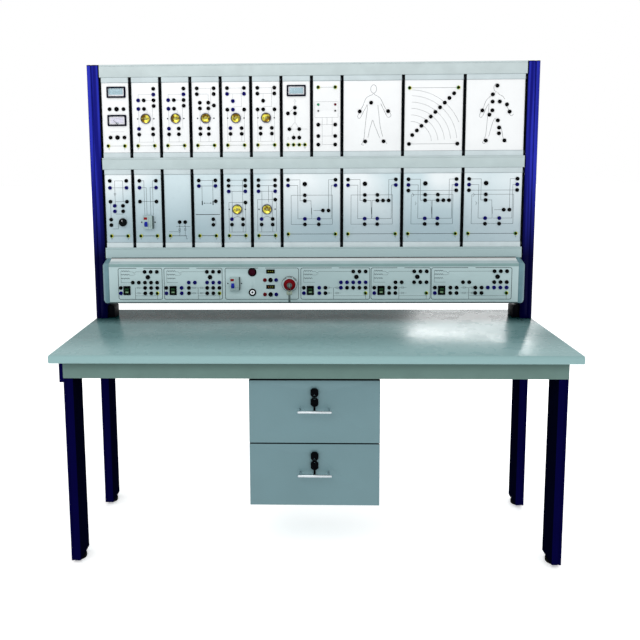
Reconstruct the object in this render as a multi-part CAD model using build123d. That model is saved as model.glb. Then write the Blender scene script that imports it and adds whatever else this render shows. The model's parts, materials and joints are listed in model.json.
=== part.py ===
from build123d import *
import math
import os

# Electrical safety trainer: a steel-legged bench with a worktop and a two-drawer cabinet, and above
# it two rows of exchangeable experiment modules and a power console between two uprights.
# Millimetres. Origin on the floor under the middle of the worktop, +X right, +Y back, +Z up.

# Round pieces are prisms with this many sides, small ones with fewer
ROUND_SIDES = 16
SMALL_SIDES = 8
SOCKET_SIDES = 5

# Bench
WORKTOP_WIDTH = 1750
WORKTOP_DEPTH = 650
WORKTOP_THICK = 28
WORKTOP_HEIGHT = 750
WORKTOP_EDGE_RADIUS = 9
FOOT_HEIGHT = 12
FOOT_RADIUS = 22
FOOT_SIDES = 12
SPINDLE_RADIUS = 5
SPINDLE_LENGTH = 26
LEG_WIDTH = 32
LEG_DEPTH = 88
LEG_WALL = 2
LEG_OVERHANG = 37
LEG_GROOVE_WIDTH = 3
LEG_GROOVE_DEPTH = 1.2
LEG_GROOVE_INSET = 9
LEG_PLUG_HEIGHT = 18
FRONT_LEG_SETBACK = 31
REAR_LEG_SETBACK = 409
APRON_THICK = 18
APRON_HEIGHT = 58
APRON_PROUD = 2
SIDE_RAIL_THICK = 14
SIDE_RAIL_HEIGHT = 73

# Uprights and rails of the rack
UPRIGHT_WIDTH = 45
UPRIGHT_DEPTH = 90
UPRIGHT_WALL = 3
UPRIGHT_SETBACK = 497
UPRIGHT_RIB_BULGE = 5
UPRIGHT_RIB_SHARE = 0.38
UPRIGHT_CAP_THICK = 3
BRACKET_WIDTH = 27
BRACKET_HEIGHT = 50
BRACKET_DEPTH = 60
BRACKET_CHAMFER = 8
MODULE_UNITS = 14
RAIL_END_THICK = 4
RAIL_DEPTH = 50
RAIL_WALL = 2.5
RAIL_GROOVE_DEPTH = 1.2
RAIL_GROOVE_HEIGHT = 2
RAIL_BAND = 5
HEADER_HEIGHT = 48
MIDDLE_RAIL_HEIGHT = 45
LOWER_RAIL_HEIGHT = 43
ROW_HEIGHT = 312

# Modules
MODULE_GAP = 0.4
SEAT_GAP = 0.3
BOX_DEPTH = 62
BOX_WALL = 2.5
SIDE_BAR_WIDTH = 5.8
BOX_SETBACK = 2
GRIP_HEIGHT = 20
GRIP_THICK = 6
PANEL_RECESS = 2
PANEL_THICK = 3
MODULE_COLUMNS = 10.727
HOLE_ROW = 11
FIRST_HOLE_DEPTH = 45
SOCKET_RADIUS = 7.5
LARGE_SOCKET_RADIUS = 9
EARTH_SOCKET_RADIUS = 7
SOCKET_PROUD = 4

# Devices on the modules
LAMP_DEPTH = 160
LAMP_RADIUS = 20
LAMP_RIM = 4
LAMP_HEIGHT = 8
REFLECTOR_THICK = 2
BULB_RADIUS = 5
DISPLAY_WIDTH = 74
DISPLAY_HEIGHT = 43
DISPLAY_PROUD = 6
DISPLAY_RIM = 5
DISPLAY_DEPTH = 57
METER_SHIFT = 5
METER_DEPTH = 166
NEEDLE_LENGTH = 20
NEEDLE_WIDTH = 1.6
NEEDLE_START = 45
PANE_THICK = 1.5
KNOB_RADIUS = 16.5
KNOB_HEIGHT = 16
KNOB_SHAFT_RADIUS = 3
INDICATOR_RADIUS = 5
TEST_BUTTON_RADIUS = 3.5
TEST_BUTTON_TRAVEL = 1.5
BREAKER_WIDTH = 40
BREAKER_HEIGHT = 52
BREAKER_PROUD = 9
BREAKER_NOSE = 6
BREAKER_NOSE_HEIGHT = 34
TOGGLE_WIDTH = 12
TOGGLE_DRUM_RADIUS = 7
TOGGLE_LEVER_LENGTH = 15
TOGGLE_LEVER_THICK = 5
TOGGLE_TILT = 28
RUNNING_GAP = 0.05
MOVING_GAP = 0.3

# Power console
CONSOLE_GAP = 72
CONSOLE_FACE_HEIGHT = 159
CONSOLE_SLOPE_RISE = 15
CONSOLE_PROUD = 43
CONSOLE_WALL = 2
CONSOLE_LIP = 8
CONSOLE_PANEL_THICK = 3
END_CAP_WIDTH = 27
END_CAP_RADIUS = 10
CONSOLE_COLUMNS = 66.36
CONSOLE_ROW = 21.5
CONSOLE_FIRST_ROW = 32
ROCKER_FRAME_WIDTH = 28
ROCKER_FRAME_HEIGHT = 32
ROCKER_FRAME_PROUD = 3
ROCKER_FRAME_DEPTH = 8
ROCKER_FRAME_WALL = 2
ROCKER_WIDTH = 19.4
ROCKER_HEIGHT = 25
ROCKER_TILT = 8
STOP_COLLAR_RADIUS = 31
STOP_COLLAR_THICK = 3
STOP_BUTTON_RADIUS = 23.5
STOP_BUTTON_HEIGHT = 14
STOP_NECK_RADIUS = 13
STOP_STEM_RADIUS = 8
STOP_TRAVEL = 6
STOP_LOCK_RADIUS = 10
PUSH_RING_RADIUS = 17
PUSH_BUTTON_RADIUS = 12.5
PUSH_TRAVEL = 3
KEY_SWITCH_RING_RADIUS = 15
KEY_SWITCH_BARREL_RADIUS = 9.5
LED_WIDTH = 34
LED_HEIGHT = 16
INLET_WIDTH = 50
INLET_HEIGHT = 28
INLET_FLANGE = 3
INLET_PROUD = 8
INLET_SHARE = (0.6, 0.75)

# Drawer cabinet
CABINET_WIDTH = 440
CABINET_OFFSET = 3
CABINET_DEPTH = 400
CABINET_BOTTOM = 213
BOARD = 16
BACK_BOARD = 8
FRONT_THICK = 18
FRONT_GAP = 4
FRONT_CLEARANCE = 11
FRONT_SETBACK = 14
DRAWER_BOARD = 12
DRAWER_BOTTOM = 6
DRAWER_DEPTH = 370
DRAWER_HEIGHT = 150
DRAWER_RISE = 28
RUNNER_HEIGHT = 35
RUNNER_GAP = 0.3
HANDLE_LENGTH = 115
HANDLE_POST_SPACING = 96
HANDLE_RADIUS = 4.5
HANDLE_POST_RADIUS = 3.5
HANDLE_REACH = 28
HANDLE_RISE = 10
LOCK_RISE = 69
LOCK_RADIUS = 8
LOCK_PROUD = 4
KEY_BOW_WIDTH = 26
KEY_BOW_HEIGHT = 30
KEY_BOW_THICK = 5
KEY_EYE_RADIUS = 3.7
KEY_EYE_INSET = 5.3
KEY_EYE_PLAY = 1.1
KEY_BLADE_WIDTH = 7
KEY_BLADE_LENGTH = 24
KEY_BLADE_THICK = 2
KEY_RING_RADIUS = 5.4
KEY_RING_WIRE = 1.4
STOP_EYE_REACH = 10
STOP_EYE_DROP = 5
STOP_KEY_RING_RADIUS = 8
STOP_KEY_TURN = 50
STOP_BOW_THICK = 2.5
STOP_KEY_BLADE_LENGTH = 20

# Levels and planes worked out from the sizes above
WORKTOP_UNDERSIDE = WORKTOP_HEIGHT - WORKTOP_THICK
FRONT_EDGE = -WORKTOP_DEPTH / 2
LEG_OUTER = WORKTOP_WIDTH / 2 - LEG_OVERHANG
FRONT_LEG_Y = FRONT_EDGE + FRONT_LEG_SETBACK
REAR_LEG_Y = FRONT_EDGE + REAR_LEG_SETBACK
APRON_FACE = FRONT_LEG_Y - APRON_PROUD
APRON_BOTTOM = WORKTOP_UNDERSIDE - APRON_HEIGHT
RACK_FRONT = FRONT_EDGE + UPRIGHT_SETBACK
UPRIGHT_INNER = WORKTOP_WIDTH / 2 - UPRIGHT_WIDTH
RACK_HALF = UPRIGHT_INNER - RAIL_END_THICK
MODULE_PITCH = 2 * RACK_HALF / MODULE_UNITS
HOLE_STEP = MODULE_PITCH / MODULE_COLUMNS
CONSOLE_BOTTOM = WORKTOP_HEIGHT + CONSOLE_GAP
CONSOLE_FACE_TOP = CONSOLE_BOTTOM + CONSOLE_FACE_HEIGHT
LOWER_RAIL_BOTTOM = CONSOLE_FACE_TOP + CONSOLE_SLOPE_RISE
LOWER_ROW_BOTTOM = LOWER_RAIL_BOTTOM + LOWER_RAIL_HEIGHT
LOWER_ROW_TOP = LOWER_ROW_BOTTOM + ROW_HEIGHT
UPPER_ROW_BOTTOM = LOWER_ROW_TOP + MIDDLE_RAIL_HEIGHT
UPPER_ROW_TOP = UPPER_ROW_BOTTOM + ROW_HEIGHT
RACK_TOP = UPPER_ROW_TOP + HEADER_HEIGHT
BOX_FRONT = RACK_FRONT + BOX_SETBACK
PANEL_FACE = BOX_FRONT + PANEL_RECESS
CONSOLE_FACE = RACK_FRONT - CONSOLE_PROUD
CONSOLE_BODY_FRONT = CONSOLE_FACE + CONSOLE_PANEL_THICK
CONSOLE_BACK = RACK_FRONT + UPRIGHT_DEPTH
CONSOLE_HALF = UPRIGHT_INNER
CONSOLE_PANEL_HALF = CONSOLE_HALF - END_CAP_WIDTH
CONSOLE_STEP = 2 * CONSOLE_PANEL_HALF / CONSOLE_COLUMNS
FRONT_FACE = FRONT_LEG_Y + FRONT_SETBACK
CARCASS_FRONT = FRONT_FACE + FRONT_THICK
CARCASS_BACK = CARCASS_FRONT + CABINET_DEPTH
FRONT_TOP = APRON_BOTTOM - FRONT_CLEARANCE
FRONT_HEIGHT = (FRONT_TOP - CABINET_BOTTOM - FRONT_GAP) / 2
DRAWER_LEVELS = {"lower": CABINET_BOTTOM, "upper": CABINET_BOTTOM + FRONT_HEIGHT + FRONT_GAP}

# Sockets of each module, as column,row on the hole grid from the module's middle and top row.
# A one-unit module is MODULE_COLUMNS wide.
# b black, B blue, K large black, E earth.
COMMON_EARTHS = "E -3,20 3,20"
TWO_POLE = "b 3,0 3,4 3,6 -0.5,4 -0.5,7 B 3,2 -2.5,4 -2.5,7 -2.5,14 -2.5,16"
UPPER_MODULES = [
    (1, "b -2.1,7 2.9,7 -2.1,17 2.9,17 K 0.4,7 0.4,17 " + COMMON_EARTHS),
    (1, TWO_POLE + " b 2.5,14 2.5,16 " + COMMON_EARTHS),
    (1, TWO_POLE + " b 1,14 1,16 " + COMMON_EARTHS),
    (1, "b -3,0 3,0 -3,2 3,2 -2,5 1,5 3,6 -2,7 1,7 -2,14 1,14 -2,16 1,16 " + COMMON_EARTHS),
    (1, "b -3,0 3,0 -3,7.5 3,7.5 2,14 -2,16 2,16 B -3,2 3,2 -1,4.5 -1,7.5 -2,14 " + COMMON_EARTHS),
    (1, "b -3,0 3,0 -3,2 3,2 -1,4.5 -3,7.5 -1,7.5 3,7.5 -2,14 2,14 -2,16 2,16 " + COMMON_EARTHS),
    (1, "b -0.5,7 -3,9 -0.5,9 -2.5,14.5 1,14.5 -1,17.5 1,17.5 E -3,20 -1,20 1,20 3,20"),
    (1, "E -3,0 3,0 b -3,13 3,13 -3,17 3,17 -3,20 3,20"),
    (2, "b -0.5,5.5 -4.5,8.5 5.5,8.5 -2.5,19 4,19"),
    (2, "E -8.5,0.5 8.5,0.5 b -8.5,20 8.5,20"),
    (2, "b 0.5,0 -1,3 -1,5.5 1.5,5.5 4,6.5 -4.5,8.5 -1,8.5 5,9 -2,10 1,12 1.5,14.5 1.5,16.5 "
        "-3,19 3.5,19"),
]
WIDE_EARTHS = "E -8.5,19.5 8.5,19.5"
WIDE_CORE = "K -2.5,1.5 B -8.5,2 8.5,2 -2.5,14 b -8.5,0 8.5,0 -2.5,5.5 -2.5,7.5 -2.5,16 " + WIDE_EARTHS
LOWER_MODULES = [
    (1, "b -3,0 3,0 -3,7.5 3,7.5 1.5,9 1.5,11 -3,14 -3,16 B -3,2.5 3,2.5 -1.5,9 -1.5,11 " + COMMON_EARTHS),
    (1, "b -3,0 3,0 -3,7.5 3,7.5 B -3,2.5 3,2.5 " + COMMON_EARTHS),
    (1, "b 0.5,15 2.5,15 E -3,20"),
    (1, "b -3,0 3,0 3,7.5 2,14 2,16 B -3,2 3,2 " + COMMON_EARTHS),
    (1, "b -3,0 3,0 -3,2 3,2 3,8 2,14 -2,16 2,16 B -3,4 3,4 -2,14 " + COMMON_EARTHS),
    (1, "b -3,0 3,0 -3,2 3,2 3,7 2,14 2,16 B -3,4 3,4 -2,14 -2,16 " + COMMON_EARTHS),
    (2, WIDE_CORE + " b 4,11 6,11 2.5,16 B 2.5,14"),
    (2, WIDE_CORE + " b 2,5.5 2,7.5 4,7.5 6,7.5 2,16 B 2,14"),
    (2, WIDE_CORE + " b -8.5,4 8.5,4 2,5.5 2,7.5 4,7.5 6,7.5 2,16 B 2,14"),
    (2, WIDE_CORE + " b -8.5,4 8.5,4 4,11 6,11 2.5,16 B 2.5,14"),
]
DIAGONAL_COUNT = 10
DIAGONAL_START = (7, 2.5)
DIAGONAL_STEP = 1.6
INDICATOR_COLUMNS = (-3, 3)
INDICATOR_ROWS = {"lamp": 6, "button": 8.2}
KNOB_PLACE = (1.3, 15)
BREAKER_PLACE = (0, 15)

# Which modules of their row, counted from 0, carry what
CARRIES = {"meter": 0, "display": 6, "indicators": 7, "diagonal": 9, "knob": 0, "breaker": 1,
           "upper lamps": (1, 2, 3, 4, 5), "lower lamps": (4, 5)}

# Console, in columns across and from its middle; drops are below the top of its face.
# Each field: its right-hand column, its sockets as columns to the left of that,row down, and the
# rocker's column.
CONSOLE_FIELDS = {
    1: (-25.29, "b 0,0 1,0 2,0 0,2 1,2 2,2 3,2 4,2 0,3 1,3 2,3 1,4 2,4 6,3 K 1.5,1 B 6,4 E 0,4", 5),
    2: (-15.1, "b 0,0 1,0 2,0 0,3 1,3 2,3 5,3 1,4 2,4 5,4 8.7,3 K 1.5,1 "
        "B 0,2 1,2 2,2 4,2 5,2 6.2,3 6.2,4 8.7,4 E 0,4", 7.6),
    3: (8.66, "b 0,0 1,0 2,0 0,3 1,3 2,3 3,3 6.5,3 6.5,4 10,3 K 1.5,1 "
        "B 0,2 1,2 2,2 3,2 4,2 4,3 7.5,3 7.5,4 10,4 E 0,4", 8.95),
    4: (18.47, "b 0,0 1,0 2,0 0,2 1,2 2,2 4,2 5,2 5,3 6,3 5,4 6,4 8.4,3 K 1.5,1 B 8.4,4 E 0,4", 7.3),
    5: (31.32, "b 0,0 1,0 2,0 0,2 1,2 2,2 6,2 7,2 4,3 5,3 8,3 9,3 4,4 5,4 8,4 9,4 11.5,3 K 1.5,1 "
        "B 0,3 1,3 2,3 3,3 11.5,4 E 0,4", 10.4),
}
SUPPLY_COLUMN = -6.75
SUPPLY_STEP = 22.3
SUPPLY_DROPS = (65.5, 123)
LED_DROPS = (31.5, 93)
STOP_PLACE = (-3.65, 81)
PUSH_PLACE = (-9.71, 34)
KEY_SWITCH_PLACE = (-9.71, 115)
CONSOLE_BREAKER_PLACE = (-12.52, 79)
INLET_PLACE = (-28.9, 100)


def block(x0, x1, y0, y1, z0, z1):
    """A box between two corners."""
    return Pos((x0 + x1) / 2, (y0 + y1) / 2, (z0 + z1) / 2) * Box(x1 - x0, y1 - y0, z1 - z0)


def facing(x, y, z):
    """A plane seen from the front, with its normal pointing back along +Y."""
    return Plane(origin=(x, y, z), x_dir=(1, 0, 0), z_dir=(0, 1, 0))


def sideways(x):
    """A plane whose sketch axes are Y and Z, with its normal along +X."""
    return Plane(origin=(x, 0, 0), x_dir=(0, 1, 0), z_dir=(1, 0, 0))


def clear_radius(radius, sides=ROUND_SIDES):
    """Corner radius of a many-sided hole that a round piece of some radius turns freely in."""
    return (radius + MOVING_GAP) / math.cos(math.pi / sides)


def disc(x, z, y0, y1, radius, sides=ROUND_SIDES):
    """A round bar along Y between two depths, as a many-sided prism."""
    return extrude(facing(x, y0, z) * RegularPolygon(radius, sides), amount=y1 - y0)


def ring(x, z, y0, y1, outer, bore, sides=ROUND_SIDES):
    """A flat ring around the Y axis, whose bore a round piece turns freely in."""
    inner = RegularPolygon(clear_radius(bore, sides), sides)
    return extrude(facing(x, y0, z) * (RegularPolygon(outer, sides) - inner), amount=y1 - y0)


def profile_x(points, x0, x1):
    """A profile of (y, z) points run from x0 to x1."""
    return extrude(sideways(x0) * make_face(Polyline(*points, close=True)), amount=x1 - x0)


def save(name, *solids):
    """Write one node from its solids."""
    flat = [piece for solid in solids for piece in (solid if isinstance(solid, list) else [solid])]
    export_step(Compound([body for piece in flat for body in piece.solids()]), f"parts/{name}.step")


# Bench


def worktop():
    half = WORKTOP_WIDTH / 2
    board = block(-half, half, FRONT_EDGE, -FRONT_EDGE, WORKTOP_UNDERSIDE, WORKTOP_HEIGHT)
    front_edges = board.edges().filter_by(Axis.X).group_by(Axis.Y)[0]
    return fillet(front_edges, WORKTOP_EDGE_RADIUS)


def aprons():
    inner = LEG_OUTER - LEG_WIDTH
    back = APRON_FACE + APRON_THICK
    front = block(-LEG_OUTER, LEG_OUTER, APRON_FACE, back, APRON_BOTTOM, WORKTOP_UNDERSIDE)
    rear_y = REAR_LEG_Y + LEG_DEPTH
    rear = block(-inner, inner, rear_y - APRON_THICK, rear_y, APRON_BOTTOM, WORKTOP_UNDERSIDE)
    return [front, rear]


def side_rails():
    bottom = WORKTOP_UNDERSIDE - SIDE_RAIL_HEIGHT
    rear_y = REAR_LEG_Y + LEG_DEPTH
    outboard = block(-LEG_OUTER - SIDE_RAIL_THICK, -LEG_OUTER, FRONT_LEG_Y, rear_y,
                     bottom, WORKTOP_UNDERSIDE)
    between = block(LEG_OUTER - SIDE_RAIL_THICK, LEG_OUTER, FRONT_LEG_Y + LEG_DEPTH, REAR_LEG_Y,
                    bottom, WORKTOP_UNDERSIDE)
    return [outboard, between]


def leg_places():
    """Side sign and front face of each leg."""
    return [(side, y) for side in (-1, 1) for y in (FRONT_LEG_Y, REAR_LEG_Y)]


def leg_tube(side, y):
    """A rectangular tube grooved down its front face, and notched at its top for the front apron."""
    x0, x1 = sorted((side * LEG_OUTER, side * (LEG_OUTER - LEG_WIDTH)))
    tube = block(x0, x1, y, y + LEG_DEPTH, FOOT_HEIGHT, WORKTOP_UNDERSIDE)
    bore = block(x0 + LEG_WALL, x1 - LEG_WALL, y + LEG_WALL, y + LEG_DEPTH - LEG_WALL,
                 FOOT_HEIGHT, WORKTOP_UNDERSIDE)
    middle = side * (LEG_OUTER - LEG_GROOVE_INSET)
    groove = block(middle - LEG_GROOVE_WIDTH / 2, middle + LEG_GROOVE_WIDTH / 2,
                   y, y + LEG_GROOVE_DEPTH, FOOT_HEIGHT, WORKTOP_UNDERSIDE)
    notch = block(x0, x1, APRON_FACE, APRON_FACE + APRON_THICK, APRON_BOTTOM, WORKTOP_UNDERSIDE)
    return tube - bore - groove - notch


def leg_plug(side, y):
    """The insert in a leg's lower end that the foot's spindle screws into."""
    x, inset = side * (LEG_OUTER - LEG_WIDTH / 2), LEG_WALL
    half = LEG_WIDTH / 2 - inset
    plug = block(x - half, x + half, y + inset, y + LEG_DEPTH - inset,
                 FOOT_HEIGHT, FOOT_HEIGHT + LEG_PLUG_HEIGHT)
    outline = RegularPolygon(clear_radius(SPINDLE_RADIUS, FOOT_SIDES), FOOT_SIDES)
    hole = extrude(Plane(origin=(x, y + LEG_DEPTH / 2, FOOT_HEIGHT)) * outline, amount=LEG_PLUG_HEIGHT)
    return plug - hole


def legs():
    return [make(side, y) for side, y in leg_places() for make in (leg_tube, leg_plug)]


def foot(side, y):
    """A levelling foot: a base with grip flats and a spindle up into the leg's plug."""
    x, middle = side * (LEG_OUTER - LEG_WIDTH / 2), y + LEG_DEPTH / 2
    base_height = FOOT_HEIGHT - SEAT_GAP
    floor = Plane(origin=(x, middle, 0))
    base = extrude(floor * RegularPolygon(FOOT_RADIUS, FOOT_SIDES), amount=base_height)
    outline = RegularPolygon(SPINDLE_RADIUS, FOOT_SIDES)
    spindle = extrude(floor * outline, amount=base_height + SPINDLE_LENGTH)
    return base + spindle


# Rack


def upright_outline(inset=0):
    """Section of the left upright: a box with two rounded ribs on its front, a narrow and a wide one."""
    x0, x1 = -WORKTOP_WIDTH / 2 + inset, -UPRIGHT_INNER - inset
    front, back = RACK_FRONT + UPRIGHT_RIB_BULGE + inset, RACK_FRONT + UPRIGHT_DEPTH - inset
    if inset:
        return make_face(Polyline((x0, front), (x1, front), (x1, back), (x0, back), close=True))
    valley = x0 + UPRIGHT_WIDTH * UPRIGHT_RIB_SHARE
    crown = RACK_FRONT
    ribs = [ThreePointArc((x0, front), ((x0 + valley) / 2, crown), (valley, front)),
            ThreePointArc((valley, front), ((valley + x1) / 2, crown), (x1, front))]
    rest = Polyline((x1, front), (x1, back), (x0, back), (x0, front))
    return make_face(ribs + [rest])


def upright():
    """The left upright, a hollow section from the worktop to its end cap."""
    tall = RACK_TOP - WORKTOP_HEIGHT - UPRIGHT_CAP_THICK
    section = upright_outline() - upright_outline(UPRIGHT_WALL)
    return extrude(Pos(0, 0, WORKTOP_HEIGHT) * section, amount=tall)


def upright_cap():
    return extrude(Pos(0, 0, RACK_TOP - UPRIGHT_CAP_THICK) * upright_outline(), amount=UPRIGHT_CAP_THICK)


def both_sides(solid):
    return [solid, mirror(solid, about=Plane.YZ)]


def base_bracket():
    """The cast bracket that ties an upright's foot to the worktop."""
    x0, x1 = -UPRIGHT_INNER, -UPRIGHT_INNER + BRACKET_WIDTH
    low, high = WORKTOP_HEIGHT, WORKTOP_HEIGHT + BRACKET_HEIGHT
    middle = RACK_FRONT + UPRIGHT_DEPTH / 2
    outline = Polyline((x0, -low), (x1, -low), (x1, -high + BRACKET_CHAMFER),
                       (x1 - BRACKET_CHAMFER, -high), (x0, -high), close=True)
    return extrude(facing(0, middle - BRACKET_DEPTH / 2, 0) * make_face(outline), amount=BRACKET_DEPTH)


RAILS = {
    "header_rail": (UPPER_ROW_TOP, HEADER_HEIGHT),
    "middle_rail": (LOWER_ROW_TOP, MIDDLE_RAIL_HEIGHT),
    "lower_rail": (LOWER_RAIL_BOTTOM, LOWER_RAIL_HEIGHT),
}


def rail(bottom, height):
    """A hollow rail with a fine groove below its top edge, all along its face."""
    top, back = bottom + height, RACK_FRONT + RAIL_DEPTH
    outer = block(-RACK_HALF, RACK_HALF, RACK_FRONT, back, bottom, top)
    bore = block(-RACK_HALF, RACK_HALF, RACK_FRONT + RAIL_WALL, back - RAIL_WALL,
                 bottom + RAIL_WALL, top - RAIL_WALL)
    groove_top = top - RAIL_BAND
    groove = block(-RACK_HALF, RACK_HALF, RACK_FRONT, RACK_FRONT + RAIL_GROOVE_DEPTH,
                   groove_top - RAIL_GROOVE_HEIGHT, groove_top)
    return outer - bore - groove


def rail_end_blocks():
    """Plates that close the rails and bolt them to the uprights."""
    back = RACK_FRONT + RAIL_DEPTH
    plates = [block(-UPRIGHT_INNER, -RACK_HALF, RACK_FRONT, back, bottom, bottom + height)
              for bottom, height in RAILS.values()]
    return [plate for one in plates for plate in both_sides(one)]


# Modules


class Module:
    """One experiment module: its width in units, its middle, its row's top and its sockets."""

    def __init__(self, units, middle, top, sockets):
        self.half = units * MODULE_PITCH / 2 - MODULE_GAP / 2
        self.middle = middle
        self.top = top
        self.sockets = sockets

    def at(self, column, row):
        """Place of a hole on the module's grid."""
        return self.middle + column * HOLE_STEP, self.top - FIRST_HOLE_DEPTH - row * HOLE_ROW


def lay_out(specs, top):
    modules, left = [], -RACK_HALF
    for units, sockets in specs:
        width = units * MODULE_PITCH
        modules.append(Module(units, left + width / 2, top, sockets))
        left += width
    return modules


UPPER = lay_out(UPPER_MODULES, UPPER_ROW_TOP)
LOWER = lay_out(LOWER_MODULES, LOWER_ROW_TOP)


def module_box(module):
    """A moulded box: side bars that frame the panel, and a hollow back."""
    left, right = module.middle - module.half, module.middle + module.half
    top, bottom = module.top - SEAT_GAP, module.top - ROW_HEIGHT
    back = BOX_FRONT + BOX_DEPTH
    shell = block(left, right, BOX_FRONT, back, bottom, top)
    mouth = block(left + SIDE_BAR_WIDTH, right - SIDE_BAR_WIDTH, BOX_FRONT, BOX_FRONT + GRIP_THICK,
                  bottom, top)
    hollow = block(left + BOX_WALL, right - BOX_WALL, BOX_FRONT + GRIP_THICK, back - BOX_WALL,
                   bottom + BOX_WALL, top - BOX_WALL)
    return shell - mouth - hollow


def panel_span(module):
    inset = SIDE_BAR_WIDTH
    return module.middle - module.half + inset, module.middle + module.half - inset


def module_panel(module):
    left, right = panel_span(module)
    top = module.top - SEAT_GAP - GRIP_HEIGHT
    bottom = module.top - ROW_HEIGHT + GRIP_HEIGHT
    return block(left, right, PANEL_FACE, BOX_FRONT + GRIP_THICK, bottom, top)


def module_grips(module):
    """The bright strips above and below a panel that the module is lifted by."""
    left, right = panel_span(module)
    top, bottom = module.top - SEAT_GAP, module.top - ROW_HEIGHT
    return [block(left, right, BOX_FRONT, BOX_FRONT + GRIP_THICK, z, z + GRIP_HEIGHT)
            for z in (top - GRIP_HEIGHT, bottom)]


def knob_place():
    return LOWER[CARRIES["knob"]].at(*KNOB_PLACE)


def lower_panels():
    """The lower row's panels, the first with a hole for the knob's shaft."""
    x, z = knob_place()
    back = BOX_FRONT + GRIP_THICK
    hole = disc(x, z, PANEL_FACE, back, clear_radius(KNOB_SHAFT_RADIUS, SMALL_SIDES), SMALL_SIDES)
    return [module_panel(one) - hole if number == CARRIES["knob"] else module_panel(one)
            for number, one in enumerate(LOWER)]


def upper_panels():
    """The upper row's panels, one with holes for the two test buttons' stems."""
    panels = []
    for number, one in enumerate(UPPER):
        panel = module_panel(one)
        if number == CARRIES["indicators"]:
            for x, z in test_button_places():
                panel -= disc(x, z, PANEL_FACE, BOX_FRONT + GRIP_THICK,
                              clear_radius(TEST_BUTTON_RADIUS / 2, SMALL_SIDES), SMALL_SIDES)
        panels.append(panel)
    return panels


def read_sockets(text):
    """Pairs of kind and (column, row) from a layout."""
    found, kind = [], ""
    for word in text.split():
        if word in "bBKER":
            kind = word
        else:
            column, row = word.split(",")
            found.append((kind, float(column), float(row)))
    return found


def on_console(place):
    """Where a column and a drop on the console's face are."""
    column, drop = place
    return column * CONSOLE_STEP, CONSOLE_FACE_TOP - drop


def socket_places():
    """Every socket's kind, place and the face that it stands on."""
    places = []
    for module in UPPER + LOWER:
        for kind, column, row in read_sockets(module.sockets):
            places.append((kind, *module.at(column, row), PANEL_FACE))
    for step in range(DIAGONAL_COUNT):
        column, row = DIAGONAL_START
        shift = step * DIAGONAL_STEP
        places.append(("b", *UPPER[CARRIES["diagonal"]].at(column - shift, row + shift), PANEL_FACE))
    for right, text, _ in CONSOLE_FIELDS.values():
        for kind, column, row in read_sockets(text):
            drop = CONSOLE_FIRST_ROW + row * CONSOLE_ROW
            places.append((kind, *on_console((right - column, drop)), CONSOLE_FACE))
    for drop in SUPPLY_DROPS:
        for number, kind in enumerate("RKB"):
            x, z = on_console((SUPPLY_COLUMN, drop))
            places.append((kind, x + (number - 1) * SUPPLY_STEP, z, CONSOLE_FACE))
    return places


def sockets(kinds, radius):
    """Safety sockets of some kinds. There are hundreds, so each is a plain five-sided collar."""
    return [disc(x, z, face - SOCKET_PROUD, face, radius, SOCKET_SIDES)
            for kind, x, z, face in socket_places() if kind in kinds]


def lamp_places():
    modules = [UPPER[n] for n in CARRIES["upper lamps"]] + [LOWER[n] for n in CARRIES["lower lamps"]]
    return [(one.middle, one.top - LAMP_DEPTH) for one in modules]


def lamp_bezel(x, z):
    return ring(x, z, PANEL_FACE - LAMP_HEIGHT, PANEL_FACE, LAMP_RADIUS, LAMP_RADIUS - LAMP_RIM)


def lamp_reflector(x, z):
    return disc(x, z, PANEL_FACE - REFLECTOR_THICK, PANEL_FACE, LAMP_RADIUS - LAMP_RIM)


def lamp_bulb(x, z):
    face = PANEL_FACE - REFLECTOR_THICK
    return disc(x, z, face - LAMP_HEIGHT / 2, face, BULB_RADIUS, SMALL_SIDES)


def indicator_lamps():
    module = UPPER[CARRIES["indicators"]]
    places = [module.at(column, INDICATOR_ROWS["lamp"]) for column in INDICATOR_COLUMNS]
    front = PANEL_FACE - SOCKET_PROUD
    return [disc(x, z, front, PANEL_FACE, INDICATOR_RADIUS, SMALL_SIDES) for x, z in places]


def test_button_places():
    module = UPPER[CARRIES["indicators"]]
    return [module.at(column, INDICATOR_ROWS["button"]) for column in INDICATOR_COLUMNS]


def test_button(x, z):
    """A small push-button: a cap clear of the panel by its travel and a stem through it."""
    back = PANEL_FACE - TEST_BUTTON_TRAVEL - MOVING_GAP
    cap = disc(x, z, back - SOCKET_PROUD / 2, back, TEST_BUTTON_RADIUS, SMALL_SIDES)
    stem = disc(x, z, back, BOX_FRONT + GRIP_THICK, TEST_BUTTON_RADIUS / 2, SMALL_SIDES)
    return cap + stem


def display_centres():
    """Middles of the two digital displays and the pointer meter."""
    meter, other = UPPER[CARRIES["meter"]], UPPER[CARRIES["display"]]
    return {"first": (meter.middle + METER_SHIFT, meter.top - DISPLAY_DEPTH),
            "second": (other.middle, other.top - DISPLAY_DEPTH),
            "meter": (meter.middle + METER_SHIFT, meter.top - METER_DEPTH)}


def meter_case(x, z, floor):
    """An instrument's case: a rim around a recess whose floor lies behind the pane."""
    half_w, half_h = DISPLAY_WIDTH / 2, DISPLAY_HEIGHT / 2
    front = PANEL_FACE - DISPLAY_PROUD
    case = block(x - half_w, x + half_w, front, PANEL_FACE, z - half_h, z + half_h)
    half_w, half_h = half_w - DISPLAY_RIM, half_h - DISPLAY_RIM
    return case - block(x - half_w, x + half_w, front, PANEL_FACE - floor, z - half_h, z + half_h)


def meter_cases():
    centres = display_centres()
    shallow = DISPLAY_PROUD - PANE_THICK
    return [meter_case(*centres["first"], shallow), meter_case(*centres["second"], shallow),
            meter_case(*centres["meter"], 1)]


def pane(x, z, width, height, face):
    return block(x - width / 2, x + width / 2, face, face + PANE_THICK, z - height / 2, z + height / 2)


def led_places():
    return [on_console((SUPPLY_COLUMN, drop)) for drop in LED_DROPS]


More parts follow.
